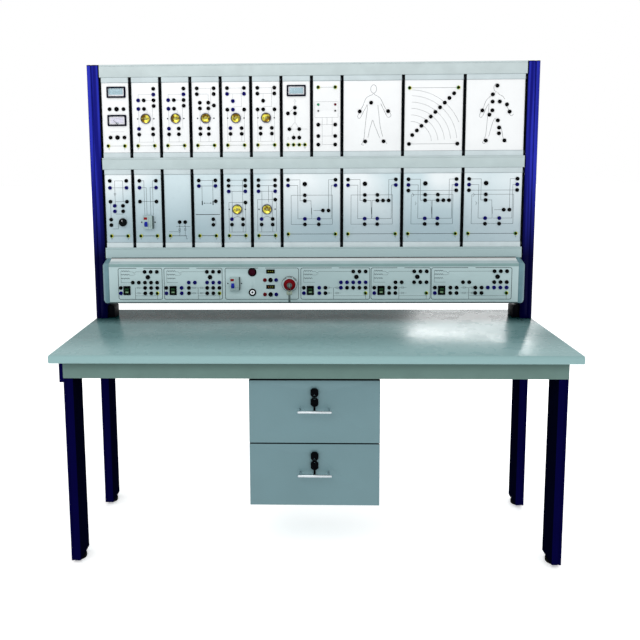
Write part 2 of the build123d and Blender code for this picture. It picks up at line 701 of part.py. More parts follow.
def display_windows():
    """Panes of the displays and the meter, and the two small windows on the console."""
    width, height = DISPLAY_WIDTH - 2 * DISPLAY_RIM, DISPLAY_HEIGHT - 2 * DISPLAY_RIM
    face = PANEL_FACE - DISPLAY_PROUD
    panes = [pane(x, z, width, height, face) for x, z in display_centres().values()]
    leds = [pane(x, z, LED_WIDTH, LED_HEIGHT, CONSOLE_FACE - PANE_THICK) for x, z in led_places()]
    return panes + leds


def needle_pivot():
    x, z = display_centres()["meter"]
    return x, z - DISPLAY_HEIGHT / 2 + DISPLAY_RIM + NEEDLE_WIDTH * 2


def meter_needle():
    """The meter's pointer at the left end of its scale, on a hub that turns on the case's floor."""
    x, z = needle_pivot()
    hub_back = PANEL_FACE - 1
    hub = disc(x, z, hub_back - 2, hub_back, NEEDLE_WIDTH * 1.5, SMALL_SIDES)
    half = NEEDLE_WIDTH / 2
    arm = block(x - half, x + half, hub_back - 2, hub_back - 1.4, z, z + NEEDLE_LENGTH)
    arm = Pos(x, 0, z) * Rot(0, -NEEDLE_START, 0) * Pos(-x, 0, -z) * arm
    return hub + arm


def rotary_knob():
    """A skirted knob with a finger bar and a shaft through the panel."""
    x, z = knob_place()
    back = PANEL_FACE - SEAT_GAP
    skirt = disc(x, z, back - KNOB_HEIGHT / 2, back, KNOB_RADIUS)
    bar_half = KNOB_RADIUS / 4
    bar = block(x - bar_half, x + bar_half, back - KNOB_HEIGHT, back - KNOB_HEIGHT / 2,
                z - KNOB_RADIUS * 0.8, z + KNOB_RADIUS * 0.8)
    shaft = disc(x, z, back, BOX_FRONT + GRIP_THICK, KNOB_SHAFT_RADIUS, SMALL_SIDES)
    return skirt + bar + shaft


def breaker_places():
    """Middles and faces of the module's and the console's breaker."""
    return {"module": (*LOWER[CARRIES["breaker"]].at(*BREAKER_PLACE), PANEL_FACE),
            "console": (*on_console(CONSOLE_BREAKER_PLACE), CONSOLE_FACE)}


def toggle_axis(x, z, face):
    """Where a breaker's toggle turns: in the left pole, inside the raised nose."""
    return x - BREAKER_WIDTH / 2 + TOGGLE_WIDTH, face - BREAKER_PROUD, z


def breaker_body(x, z, face):
    """A two-pole breaker: a base, a raised nose and a slot where its toggle turns."""
    half, half_h, nose_h = BREAKER_WIDTH / 2, BREAKER_HEIGHT / 2, BREAKER_NOSE_HEIGHT / 2
    shoulder, front = face - BREAKER_PROUD, face - BREAKER_PROUD - BREAKER_NOSE
    base = block(x - half, x + half, shoulder, face, z - half_h, z + half_h)
    nose = block(x - half, x + half, front, shoulder, z - nose_h, z + nose_h)
    axis_x, axis_y, axis_z = toggle_axis(x, z, face)
    reach = TOGGLE_WIDTH / 2 + MOVING_GAP
    slot = clear_radius(TOGGLE_DRUM_RADIUS)
    outline = Pos(axis_y, axis_z) * RegularPolygon(slot, ROUND_SIDES)
    drum = extrude(sideways(axis_x - reach) * outline, amount=2 * reach)
    mouth = block(axis_x - reach, axis_x + reach, front, axis_y, z - slot, z + slot)
    return base + nose - drum - mouth


def breaker_toggle(x, z, face):
    """A toggle tipped down: a drum in the breaker's slot and a flat lever."""
    axis_x, axis_y, axis_z = toggle_axis(x, z, face)
    outline = Pos(axis_y, axis_z) * RegularPolygon(TOGGLE_DRUM_RADIUS, ROUND_SIDES)
    drum = extrude(sideways(axis_x - TOGGLE_WIDTH / 2) * outline, amount=TOGGLE_WIDTH)
    half, thick = TOGGLE_WIDTH / 2, TOGGLE_LEVER_THICK
    tip = axis_y - TOGGLE_DRUM_RADIUS - TOGGLE_LEVER_LENGTH + thick
    lever = block(axis_x - half, axis_x + half, tip, axis_y, axis_z - thick / 2, axis_z + thick / 2)
    lever = Pos(0, axis_y, axis_z) * Rot(TOGGLE_TILT, 0, 0) * Pos(0, -axis_y, -axis_z) * lever
    return drum + lever


# Console


def console_outline():
    """Section of the console: an upright face, a sloped top and a flat back, as (y, z) points."""
    top = LOWER_RAIL_BOTTOM
    return [(CONSOLE_BODY_FRONT, CONSOLE_BOTTOM), (CONSOLE_BODY_FRONT, CONSOLE_FACE_TOP),
            (RACK_FRONT, top), (CONSOLE_BACK, top), (CONSOLE_BACK, CONSOLE_BOTTOM)]


def console_housing():
    """A folded sheet housing, open in front where the panel closes it."""
    wall, lip = CONSOLE_WALL, CONSOLE_LIP
    top = LOWER_RAIL_BOTTOM - wall
    inner_front = CONSOLE_BODY_FRONT + wall
    hollow = [(inner_front, CONSOLE_BOTTOM + wall), (inner_front, CONSOLE_FACE_TOP - wall),
              (RACK_FRONT, top), (CONSOLE_BACK - wall, top), (CONSOLE_BACK - wall, CONSOLE_BOTTOM + wall)]
    reach = CONSOLE_PANEL_HALF
    shell = profile_x(console_outline(), -reach, reach) - profile_x(hollow, -reach, reach)
    mouth = block(-reach + lip, reach - lip, CONSOLE_BODY_FRONT, inner_front,
                  CONSOLE_BOTTOM + lip, CONSOLE_FACE_TOP - lip)
    return shell - mouth


def console_end_cap():
    """The moulded left end, rounded all round its outer face."""
    outline = [(CONSOLE_FACE, CONSOLE_BOTTOM), (CONSOLE_FACE, CONSOLE_FACE_TOP)] + console_outline()[2:]
    cap = profile_x(outline, -CONSOLE_HALF, -CONSOLE_PANEL_HALF)
    rim = cap.faces().sort_by(Axis.X)[0].edges()
    return chamfer(rim, END_CAP_RADIUS)


def rocker_places():
    """Middle of each rocker, in the order of the console's fields."""
    drop = CONSOLE_FIRST_ROW + 3.5 * CONSOLE_ROW
    return [on_console((right - column, drop)) for right, _, column in CONSOLE_FIELDS.values()]


def console_panel():
    """The console's face with its cut-outs for rockers, stop button, push-button and key switch."""
    reach = CONSOLE_PANEL_HALF
    face, back = CONSOLE_FACE, CONSOLE_BODY_FRONT
    panel = block(-reach, reach, face, back, CONSOLE_BOTTOM, CONSOLE_FACE_TOP)
    half_w, half_h = rocker_body_half()
    for x, z in rocker_places():
        panel -= block(x - half_w, x + half_w, face, back, z - half_h, z + half_h)
    for place, radius in ((STOP_PLACE, STOP_STEM_RADIUS), (PUSH_PLACE, PUSH_BUTTON_RADIUS),
                          (KEY_SWITCH_PLACE, KEY_SWITCH_BARREL_RADIUS)):
        x, z = on_console(place)
        panel -= disc(x, z, face, back, clear_radius(radius))
    return panel


def rocker_hole_half():
    """Half width and half height of the well that a rocker tips in."""
    return ROCKER_WIDTH / 2 + RUNNING_GAP, ROCKER_HEIGHT / 2 + ROCKER_FRAME_WALL


def rocker_body_half():
    """Half width and half height of the part of a rocker's frame that passes through the panel."""
    half_w, half_h = rocker_hole_half()
    return half_w + ROCKER_FRAME_WALL, half_h + ROCKER_FRAME_WALL


def rocker_frame(x, z):
    """A switch's frame: a flange on the panel and a body through it, around the rocker's well."""
    half_w, half_h = ROCKER_FRAME_WIDTH / 2, ROCKER_FRAME_HEIGHT / 2 + ROCKER_FRAME_WALL
    front, back = CONSOLE_FACE - ROCKER_FRAME_PROUD, CONSOLE_FACE + ROCKER_FRAME_DEPTH
    flange = block(x - half_w, x + half_w, front, CONSOLE_FACE, z - half_h, z + half_h)
    half_w, half_h = rocker_body_half()
    body = block(x - half_w, x + half_w, CONSOLE_FACE, back, z - half_h, z + half_h)
    half_w, half_h = rocker_hole_half()
    return flange + body - block(x - half_w, x + half_w, front, back, z - half_h, z + half_h)


def rocker(x, z):
    """A rocker with a shallow V face, tipped to its off side about its middle."""
    half, axis_y = ROCKER_HEIGHT / 2, CONSOLE_FACE
    nose = ROCKER_FRAME_PROUD + 2
    points = [(-nose, half), (-nose + 2, 0), (-nose, -half), (nose, -half / 2), (nose, half / 2)]
    turn = math.radians(ROCKER_TILT)
    cos, sin = math.cos(turn), math.sin(turn)
    turned = [(axis_y + y * cos - up * sin, z + y * sin + up * cos) for y, up in points]
    return profile_x(turned, x - ROCKER_WIDTH / 2, x + ROCKER_WIDTH / 2)


def control_bezels():
    """Frames of the rockers, the stop button's collar and the push-button's and key switch's rings."""
    face = CONSOLE_FACE
    x, z = on_console(STOP_PLACE)
    collar = ring(x, z, face - STOP_COLLAR_THICK, face, STOP_COLLAR_RADIUS, STOP_STEM_RADIUS)
    x, z = on_console(PUSH_PLACE)
    push_ring = ring(x, z, face - PUSH_TRAVEL, face, PUSH_RING_RADIUS, PUSH_BUTTON_RADIUS)
    x, z = on_console(KEY_SWITCH_PLACE)
    front = face - PUSH_TRAVEL
    key_ring = ring(x, z, front, face, KEY_SWITCH_RING_RADIUS, KEY_SWITCH_BARREL_RADIUS)
    return [rocker_frame(*place) for place in rocker_places()] + [collar, push_ring, key_ring]


def stop_button():
    """The mushroom button on its stem, with a lock at its middle and its key standing in it, edge on."""
    x, z = on_console(STOP_PLACE)
    rear = CONSOLE_FACE - STOP_COLLAR_THICK - STOP_TRAVEL - SEAT_GAP
    stem = disc(x, z, rear, CONSOLE_BODY_FRONT + STOP_TRAVEL, STOP_STEM_RADIUS)
    neck = disc(x, z, rear - STOP_BUTTON_HEIGHT / 2, rear, STOP_NECK_RADIUS)
    head_back = rear - STOP_BUTTON_HEIGHT / 2
    head = disc(x, z, head_back - STOP_BUTTON_HEIGHT, head_back, STOP_BUTTON_RADIUS)
    head = chamfer(head.faces().sort_by(Axis.Y)[0].edges(), STOP_BUTTON_HEIGHT / 3)
    lock_face = head_back - STOP_BUTTON_HEIGHT - LOCK_PROUD
    lock = disc(x, z, lock_face, head_back - STOP_BUTTON_HEIGHT, STOP_LOCK_RADIUS)
    bow_front = lock_face - STOP_EYE_REACH - KEY_EYE_INSET
    bow = block(x - KEY_BLADE_THICK / 2, x + KEY_BLADE_THICK / 2, bow_front, lock_face,
                z - STOP_LOCK_RADIUS, z + STOP_LOCK_RADIUS)
    _, eye_y, eye_z = stop_eye()
    outline = RegularPolygon(KEY_EYE_RADIUS, SMALL_SIDES)
    eye = sideways(x - KEY_BLADE_THICK / 2) * Pos(eye_y, eye_z) * outline
    return stem + neck + head + lock + (bow - extrude(eye, amount=KEY_BLADE_THICK))


def stop_eye():
    """The eye in the key that stands in the stop button's lock."""
    x, z = on_console(STOP_PLACE)
    rear = CONSOLE_FACE - STOP_COLLAR_THICK - STOP_TRAVEL - SEAT_GAP
    lock_face = rear - STOP_BUTTON_HEIGHT * 1.5 - LOCK_PROUD
    return x, lock_face - STOP_EYE_REACH, z - STOP_EYE_DROP


def push_button():
    x, z = on_console(PUSH_PLACE)
    front = CONSOLE_FACE - 2 * PUSH_TRAVEL - 1
    return disc(x, z, front, CONSOLE_BODY_FRONT, PUSH_BUTTON_RADIUS)


def key_switch():
    """The key switch's barrel with its keyway."""
    x, z = on_console(KEY_SWITCH_PLACE)
    front = CONSOLE_FACE - PUSH_TRAVEL - 1
    barrel = disc(x, z, front, CONSOLE_BODY_FRONT, KEY_SWITCH_BARREL_RADIUS)
    keyway = block(x - KEY_BLADE_THICK / 2, x + KEY_BLADE_THICK / 2, front, front + KEY_BLADE_WIDTH / 2,
                   z - KEY_BLADE_WIDTH / 2, z + KEY_BLADE_WIDTH / 2)
    return barrel - keyway


def mains_inlet():
    """The mains inlet in the console's back, with a shallow face for its pins."""
    x, z = on_console(INLET_PLACE)
    back = CONSOLE_BACK
    half_w, half_h = INLET_WIDTH / 2, INLET_HEIGHT / 2
    seat, front = back + INLET_FLANGE, back + INLET_PROUD
    flange = block(x - half_w, x + half_w, back, seat, z - half_h, z + half_h)
    half_w, half_h = half_w * INLET_SHARE[0], half_h * INLET_SHARE[1]
    collar = block(x - half_w, x + half_w, seat, front, z - half_h, z + half_h)
    half_w, half_h = half_w - INLET_FLANGE, half_h - INLET_FLANGE
    face = block(x - half_w, x + half_w, seat, front, z - half_h, z + half_h)
    return flange + collar - face


# Cabinet


def cabinet_carcass():
    """Two sides, a top, a bottom and a back, butted together."""
    half, top = CABINET_WIDTH / 2, WORKTOP_UNDERSIDE
    front, back = CARCASS_FRONT, CARCASS_BACK
    inner = half - BOARD
    sides = both_sides(block(-half, -inner, front, back, CABINET_BOTTOM, top))
    boards = [block(-inner, inner, front, back, z, z + BOARD) for z in (CABINET_BOTTOM, top - BOARD)]
    rear = block(-inner, inner, back - BACK_BOARD, back, CABINET_BOTTOM + BOARD, top - BOARD)
    return sides + boards + [rear]


DRAWER_HALF = CABINET_WIDTH / 2 - BOARD - BOARD / 2 - 4 * RUNNER_GAP


def drawer_box(level):
    """Two sides, a front, a back and a bottom, with a runner along each side."""
    half, board = DRAWER_HALF, DRAWER_BOARD
    low, high = level + DRAWER_RISE, level + DRAWER_RISE + DRAWER_HEIGHT
    front, back = CARCASS_FRONT, CARCASS_FRONT + DRAWER_DEPTH
    sides = both_sides(block(-half, -half + board, front, back, low, high))
    ends = [block(-half + board, half - board, y, y + board, low, high) for y in (front, back - board)]
    bottom = block(-half + board, half - board, front + board, back - board, low, low + DRAWER_BOTTOM)
    slot = CABINET_WIDTH / 2 - BOARD - half
    middle = (low + high) / 2
    rail_low, rail_high = middle - RUNNER_HEIGHT / 4, middle + RUNNER_HEIGHT / 4
    runners = both_sides(block(-half - slot / 2, -half, front, back, rail_low, rail_high))
    return sides + ends + [bottom] + runners


def drawer_runners():
    """Channels on the cabinet's sides that the drawers' runners slide in."""
    half = CABINET_WIDTH / 2 - BOARD
    slot = half - DRAWER_HALF
    channels = []
    for level in DRAWER_LEVELS.values():
        middle = level + DRAWER_RISE + DRAWER_HEIGHT / 2
        front, back = CARCASS_FRONT, CARCASS_FRONT + DRAWER_DEPTH
        reach, lip = RUNNER_HEIGHT / 2, RUNNER_HEIGHT / 4 + RUNNER_GAP
        x0, x1 = -half + slot / 2 - RUNNER_GAP, -half + slot - RUNNER_GAP
        web = block(-half, x0, front, back, middle - reach, middle + reach)
        upper_lip = block(x0, x1, front, back, middle + lip, middle + reach)
        lower_lip = block(x0, x1, front, back, middle - reach, middle - lip)
        channels += both_sides(web + upper_lip + lower_lip)
    return channels


def lock_place(level):
    return 0, level + FRONT_HEIGHT / 2 + LOCK_RISE


def drawer_front(level):
    """A front board with its lock's hole."""
    half = CABINET_WIDTH / 2
    board = block(-half, half, FRONT_FACE, CARCASS_FRONT, level, level + FRONT_HEIGHT)
    x, z = lock_place(level)
    return board - disc(x, z, FRONT_FACE, CARCASS_FRONT, clear_radius(LOCK_RADIUS))


def drawer_handle(level):
    """A straight bar on two posts."""
    z = level + FRONT_HEIGHT / 2 + HANDLE_RISE
    axis_y = FRONT_FACE - HANDLE_REACH
    outline = Pos(axis_y, z) * RegularPolygon(HANDLE_RADIUS, ROUND_SIDES)
    bar = extrude(sideways(-HANDLE_LENGTH / 2) * outline, amount=HANDLE_LENGTH)
    for x in (-HANDLE_POST_SPACING / 2, HANDLE_POST_SPACING / 2):
        bar += disc(x, z, axis_y, FRONT_FACE, HANDLE_POST_RADIUS, SMALL_SIDES)
    return bar


def key_bow(x, z, y, thick=KEY_BOW_THICK):
    """A key's grip seen flat from the front, with an eye near its lower edge."""
    w, h = KEY_BOW_WIDTH / 2, KEY_BOW_HEIGHT / 2
    corner = w / 2
    outline = Polyline((-w, -h + corner), (-w + corner, -h), (w - corner, -h), (w, -h + corner),
                       (w, h - corner), (w - corner, h), (-w + corner, h), (-w, h - corner), close=True)
    plate = extrude(facing(x, y, z) * make_face(outline), amount=thick)
    return plate - disc(x, eye_height(z), y, y + thick, KEY_EYE_RADIUS, SMALL_SIDES)


def eye_height(z):
    """Height of a bow's eye, for a bow whose middle is at z."""
    return z - KEY_BOW_HEIGHT / 2 + KEY_EYE_INSET


def lock_key(level):
    """A lock's barrel through the drawer front, with the folded bow of the key that stands in it."""
    x, z = lock_place(level)
    front = FRONT_FACE - LOCK_PROUD
    return [disc(x, z, front, CARCASS_FRONT, LOCK_RADIUS), key_bow(x, z, front - KEY_BOW_THICK)]


def lock_eye(level):
    """The eye in the bow on a drawer lock."""
    x, z = lock_place(level)
    return x, FRONT_FACE - LOCK_PROUD - KEY_BOW_THICK / 2, eye_height(z)


def spare_key(x, y, z, radius, turn, bow_thick, blade_length):
    """A split ring hung in an eye at (x, y, z), turned about the vertical, and the spare key on it."""
    wire = KEY_RING_WIRE / 2
    hoop = RegularPolygon(radius + wire, ROUND_SIDES) - RegularPolygon(radius - wire, ROUND_SIDES)
    split_ring = extrude(sideways(0) * hoop, amount=KEY_RING_WIRE / 2, both=True)
    split_ring = Pos(x, y, z - KEY_EYE_PLAY - radius) * Rot(0, 0, turn) * split_ring
    lower_eye = z - 2 * (KEY_EYE_PLAY + radius)
    front, middle = y - bow_thick / 2, lower_eye - KEY_BOW_HEIGHT / 2 + KEY_EYE_INSET
    bow = Pos(0, 0, middle) * mirror(key_bow(x, 0, front, bow_thick), about=Plane.XY)
    blade_top = middle - KEY_BOW_HEIGHT / 2
    half, thick = KEY_BLADE_WIDTH / 2, KEY_BLADE_THICK / 2
    blade = block(x - half, x + half, y - thick, y + thick, blade_top - blade_length, blade_top)
    return [split_ring, bow, blade]


def in_cabinet(*solids):
    """Shift what was built about the middle plane to the cabinet's own middle."""
    flat = [piece for solid in solids for piece in (solid if isinstance(solid, list) else [solid])]
    return [Pos(CABINET_OFFSET, 0, 0) * piece for piece in flat]


def write_parts():
    os.makedirs("parts", exist_ok=True)
    save("worktop", worktop())
    save("aprons", aprons())
    save("side_rails", side_rails())
    save("legs", legs())
    for name, place in zip(("left_front", "left_rear", "right_front", "right_rear"), leg_places()):
        save(f"{name}_foot", foot(*place))
    save("uprights", both_sides(upright()))
    save("upright_caps", both_sides(upright_cap()))
    save("rack_brackets", both_sides(base_bracket()), rail_end_blocks())
    for name, (bottom, height) in RAILS.items():
        save(name, rail(bottom, height))
    save("module_boxes", [module_box(one) for one in UPPER + LOWER])
    save("module_grips", [grip for one in UPPER + LOWER for grip in module_grips(one)])
    save("upper_panels", upper_panels())
    save("lower_panels", lower_panels())
    save("black_sockets", sockets("b", SOCKET_RADIUS), sockets("K", LARGE_SOCKET_RADIUS))
    save("blue_sockets", sockets("B", SOCKET_RADIUS))
    save("red_sockets", sockets("R", SOCKET_RADIUS))
    save("earth_sockets", sockets("E", EARTH_SOCKET_RADIUS))
    save("lamp_bezels", [lamp_bezel(*place) for place in lamp_places()])
    save("lamp_reflectors", [lamp_reflector(*place) for place in lamp_places()])
    save("lamp_bulbs", [lamp_bulb(*place) for place in lamp_places()], indicator_lamps())
    for name, place in zip(("left", "right"), test_button_places()):
        save(f"{name}_test_button", test_button(*place))
    save("meter_cases", meter_cases())
    save("display_windows", display_windows())
    save("meter_needle", meter_needle())
    save("rotary_knob", rotary_knob())
    save("breaker_bodies", [breaker_body(*place) for place in breaker_places().values()])
    for name, place in breaker_places().items():
        save(f"{name}_breaker_toggle", breaker_toggle(*place))
    save("console_housing", console_housing())
    save("console_end_caps", both_sides(console_end_cap()))
    save("console_panel", console_panel())
    save("control_bezels", control_bezels())
    for number, place in enumerate(rocker_places(), 1):
        save(f"rocker_{number}", rocker(*place))
    save("stop_button", stop_button())
    hanging = spare_key(*stop_eye(), STOP_KEY_RING_RADIUS, STOP_KEY_TURN, STOP_BOW_THICK,
                        STOP_KEY_BLADE_LENGTH)
    save("emergency_key", hanging)
    save("push_button", push_button())
    save("key_switch", key_switch())
    save("mains_inlet", mains_inlet())
    save("cabinet_carcass", in_cabinet(cabinet_carcass()))
    save("drawer_runners", in_cabinet(drawer_runners()))
    for name, level in DRAWER_LEVELS.items():
        save(f"{name}_drawer_front", in_cabinet(drawer_front(level)))
        save(f"{name}_drawer_box", in_cabinet(drawer_box(level)))
        save(f"{name}_drawer_handle", in_cabinet(drawer_handle(level)))
        save(f"{name}_lock_key", in_cabinet(lock_key(level)))
        hanging = spare_key(*lock_eye(level), KEY_RING_RADIUS, 0, KEY_BOW_THICK, KEY_BLADE_LENGTH)
        save(f"{name}_spare_key", in_cabinet(hanging))


write_parts()
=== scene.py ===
import json
import math

import bmesh
import bpy
from mathutils import Matrix, Vector

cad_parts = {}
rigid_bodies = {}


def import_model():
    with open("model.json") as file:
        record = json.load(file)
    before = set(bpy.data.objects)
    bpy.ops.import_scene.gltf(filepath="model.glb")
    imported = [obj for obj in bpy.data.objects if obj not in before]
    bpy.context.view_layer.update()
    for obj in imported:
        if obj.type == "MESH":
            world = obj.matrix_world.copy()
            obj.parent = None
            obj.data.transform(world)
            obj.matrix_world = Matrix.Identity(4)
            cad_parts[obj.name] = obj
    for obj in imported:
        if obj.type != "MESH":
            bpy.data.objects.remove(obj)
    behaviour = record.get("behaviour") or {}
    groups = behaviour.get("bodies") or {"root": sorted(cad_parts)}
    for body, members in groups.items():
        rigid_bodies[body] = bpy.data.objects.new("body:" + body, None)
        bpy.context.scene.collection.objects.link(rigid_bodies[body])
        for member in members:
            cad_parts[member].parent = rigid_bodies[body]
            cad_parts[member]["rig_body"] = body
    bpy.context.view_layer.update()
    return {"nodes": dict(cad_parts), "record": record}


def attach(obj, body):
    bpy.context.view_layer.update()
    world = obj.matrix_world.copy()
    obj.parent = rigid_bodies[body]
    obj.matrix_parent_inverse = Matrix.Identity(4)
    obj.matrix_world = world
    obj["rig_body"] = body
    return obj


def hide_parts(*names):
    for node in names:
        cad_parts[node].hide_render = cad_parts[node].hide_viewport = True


# The dressed electrical safety trainer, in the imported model's frame: origin on the floor under the
# middle of the worktop, +X right, +Y back, +Z up. The front faces -Y. Sizes are in millimetres, and
# a piece's mesh is brought to metres as it is built. The camera and the lights are in metres.

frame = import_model()

MM = 0.001
MERGE = 0.001 * MM
SHARP = math.radians(25)
SMOOTH = math.radians(40)

SLOT_OF = {one["node"]: one["material_slot"] for one in frame["record"]["subparts"]}

# The hole grid of the modules, below the top of a module's box
HOLE_GRID = 11
FIRST_HOLE_DEPTH = 44.7

# The number of the lower row's first module among them all
LOWER_ROW = 11

# The console's grid: level of the first row of sockets and the step between rows
CONSOLE_FIRST_LEVEL = 949
CONSOLE_ROW = 21.5

# The photograph's viewpoint
CAMERA_PLACE = (-0.0235, -2.3583, 1.3927)
CAMERA_YAW = -1.514
CAMERA_PITCH = 6.364
CAMERA_ROLL = 0.373
CAMERA_LENS = 36.15
CAMERA_SHIFT = (0.0484, -0.1415)


# Reading the frame


class Solid:
    """Corners, middles and window, seen from the front, of one loose part of a CAD node."""

    def __init__(self, points):
        self.low = Vector([min(point[axis] for point in points) for axis in range(3)])
        self.high = Vector([max(point[axis] for point in points) for axis in range(3)])
        self.size = self.high - self.low
        self.centre = (self.low + self.high) / 2
        self.middle = sum(points, Vector()) / len(points)
        self.window = (self.low.x, self.low.z), (self.high.x, self.high.z)
        self.back = self.centre.x, self.high.y, self.centre.z
        self.front = self.centre.x, self.low.y, self.centre.z


def loose_parts(node):
    """The loose parts of a CAD node, top row first and left to right."""
    bm = bmesh.new()
    bm.from_mesh(frame["nodes"][node].data)
    bmesh.ops.remove_doubles(bm, verts=bm.verts, dist=MERGE)
    found, seen = [], set()
    for start in bm.verts:
        if start in seen:
            continue
        seen.add(start)
        stack, part = [start], []
        while stack:
            vert = stack.pop()
            part.append(vert.co / MM)
            for edge in vert.link_edges:
                other = edge.other_vert(vert)
                if other not in seen:
                    seen.add(other)
                    stack.append(other)
        found.append(Solid(part))
    bm.free()
    return sorted(found, key=lambda part: (-round(part.centre.z), part.centre.x))


# Materials. Colours are 8-bit screen colours.


def linear(colour, factor=1):
    """Linear colour of a screen colour, made lighter or darker by a factor."""
    shares = [value / 255 for value in colour]
    values = [s / 12.92 if s <= 0.04045 else ((s + 0.055) / 1.055) ** 2.4 for s in shares]
    return [min(1, value * factor) for value in values] + [1]


class Look:
    """A procedural material: a principled shader whose colour, roughness and bump come from noise."""

    def __init__(self, name, colour, rough=0.5, metal=0.0, specular=0.5, coat=0.0):
        self.material = bpy.data.materials.new(name)
        self.material.use_nodes = True
        self.tree = self.material.node_tree
        self.shader = self.tree.nodes["Principled BSDF"]
        self.shader.inputs["Metallic"].default_value = metal
        self.shader.inputs["Specular IOR Level"].default_value = specular
        self.shader.inputs["Coat Weight"].default_value = coat
        self.colour, self.rough = colour, rough
        self.place = self.tree.nodes.new("ShaderNodeTexCoord").outputs["Object"]
        self.tint = None

    def feed(self, socket, value):
        if isinstance(value, bpy.types.NodeSocket):
            self.tree.links.new(value, socket)
        else:
            socket.default_value = value

    def node(self, kind, **inputs):
        made = self.tree.nodes.new(kind)
        for name, value in inputs.items():
            self.feed(made.inputs[name.replace("_", " ")], value)
        return made

    def noise(self, size, stretch=(1, 1, 1), detail=2.0):
        """Noise with features of a size, stretched along the axes."""
        scale = [1 / (size * MM * one) for one in stretch]
        mapped = self.node("ShaderNodeMapping", Vector=self.place, Scale=scale)
        made = self.node("ShaderNodeTexNoise", Vector=mapped.outputs["Vector"], Scale=1.0,
                         Detail=detail, Roughness=0.5)
        return made.outputs["Fac"]

    def spread(self, value, low, high, start=0.3, end=0.7):
        """A value moved into a range."""
        made = self.node("ShaderNodeMapRange", Value=value, From_Min=start, From_Max=end,
                         To_Min=low, To_Max=high)
        return made.outputs["Result"]

    def mix(self, share, first, second):
        """Two linear colours mixed, as the tint so far."""
        made = self.node("ShaderNodeMix")
        made.data_type = "RGBA"
        for name, value in (("Factor", share), ("A", first), ("B", second)):
            self.feed([one for one in made.inputs if one.name == name and one.enabled][0], value)
        self.tint = [one for one in made.outputs if one.enabled][0]
        return self

    def mottled(self, size, amount, stretch=(1, 1, 1)):
        """Cloudy variation of the colour."""
        return self.mix(self.spread(self.noise(size, stretch), 0, 1), linear(self.colour, 1 - amount),
                        linear(self.colour, 1 + amount))

    def speckled(self, size, factor, share):
        """Small darker specks over what is there."""
        grains = self.spread(self.noise(size, detail=1), 0, share, 0.55, 0.7)
        return self.mix(grains, self.tint, linear(self.colour, factor))

    def streaked(self, size, colour, share, stretch=(1, 1, 1)):
        """Soft patches of another colour, drawn out along an axis."""
        patches = self.spread(self.noise(size, stretch, 1), 0, share, 0.42, 0.62)
        return self.mix(patches, self.tint, linear(colour))

    def painted_light_graded(self, axis, start, end, colour, share=1):
        """Painted light and shade: another colour towards one end of the object, between two heights or
        depths in metres.
        """
        place = self.node("ShaderNodeSeparateXYZ", Vector=self.place)
        return self.mix(self.spread(place.outputs[axis], 0, share, start, end), self.tint, linear(colour))

    def sided(self, colour, axis="X"):
        """Painted shade: another colour on the faces that look along an axis, where little light comes."""
        normal = self.tree.nodes.new("ShaderNodeNewGeometry").outputs["True Normal"]
        split = self.node("ShaderNodeSeparateXYZ", Vector=normal)
        across = self.node("ShaderNodeMath", Value=split.outputs[axis])
        across.operation = "ABSOLUTE"
        return self.mix(self.spread(across.outputs["Value"], 0, 1, 0.5, 0.9), self.tint, linear(colour))

    def worn(self, size, amount):
        """Uneven sheen."""
        value = self.spread(self.noise(size, detail=4), self.rough - amount, self.rough + amount)
        self.feed(self.shader.inputs["Roughness"], value)
        return self

    def rippled(self, size, height, stretch=(1, 1, 1)):
        """Fine relief."""
        bump = self.node("ShaderNodeBump", Height=self.noise(size, stretch), Strength=0.6,
                         Distance=height * MM)
        self.feed(self.shader.inputs["Normal"], bump.outputs["Normal"])
        return self

    def glowing(self, colour, strength):
        self.shader.inputs["Emission Color"].default_value = linear(colour)
        self.shader.inputs["Emission Strength"].default_value = strength
        return self

    def done(self, painted_light_grades=(), sides=None, axis="X"):
        """The material, with painted light and shade towards one end and painted shade on its sides, if
        asked.
        """
        for grade in painted_light_grades:
            self.painted_light_graded(*grade)
        if sides:
            self.sided(sides, axis)
        self.feed(self.shader.inputs["Base Color"], self.tint)
        return self.material


def paint(name, colour, rough=0.35, specular=0.3, painted_light_grades=(), sides=None, groove_shade_streaks=None):
    """Powder coat with a faint orange peel."""
    look = Look(name, colour, rough, specular=specular).mottled(60, 0.05)
    # Dark vertical patches, painted shade of the grooves between an upright's ribs
    if groove_shade_streaks:
        look.streaked(14, groove_shade_streaks, 0.85, (1, 1, 40))
    return look.worn(25, 0.05).rippled(1.2, 0.04).done(painted_light_grades, sides)


def plastic(name, colour, rough=0.4, specular=0.3):
    """Moulded plastic with a fine grain."""
    look = Look(name, colour, rough, specular=specular)
    return look.mottled(20, 0.06).worn(8, 0.06).rippled(0.5, 0.02).done()


def metal(name, colour, rough=0.3, stretch=(1, 1, 1)):
    """Metal brushed along one axis."""
    look = Look(name, colour, rough, metal=1.0)
    return look.mottled(0.8, 0.08, stretch).worn(6, 0.06).rippled(0.3, 0.01, stretch).done()


def board(name, colour, rough=0.45, specular=0.3, painted_light_grades=(), edges=None):
    """Melamine or laminate faced board, finely speckled, with painted shade on the faces that look up and
    down if asked.
    """
    look = Look(name, colour, rough, specular=specular)
    look.mottled(120, 0.03).speckled(1.6, 0.85, 0.5)
    return look.worn(60, 0.04).rippled(0.7, 0.02).done(painted_light_grades, edges, "Z")


def sheet(name, colour, rough=0.35, specular=0.3, patches=None, painted_light_grades=()):
    """A printed panel: smooth, with a faint long brushing under the print."""
    look = Look(name, colour, rough, specular=specular).mottled(90, 0.02)
    if patches:
        look.streaked(260, patches, 0.8, (1, 1, 1.4))
    return look.worn(30, 0.04).rippled(0.4, 0.004, (25, 1, 1)).done(painted_light_grades)


def ink(name, colour):
    """Screen-printed ink, a little uneven."""
    return Look(name, colour, 0.6, specular=0.1).mottled(6, 0.15).worn(3, 0.05).done()


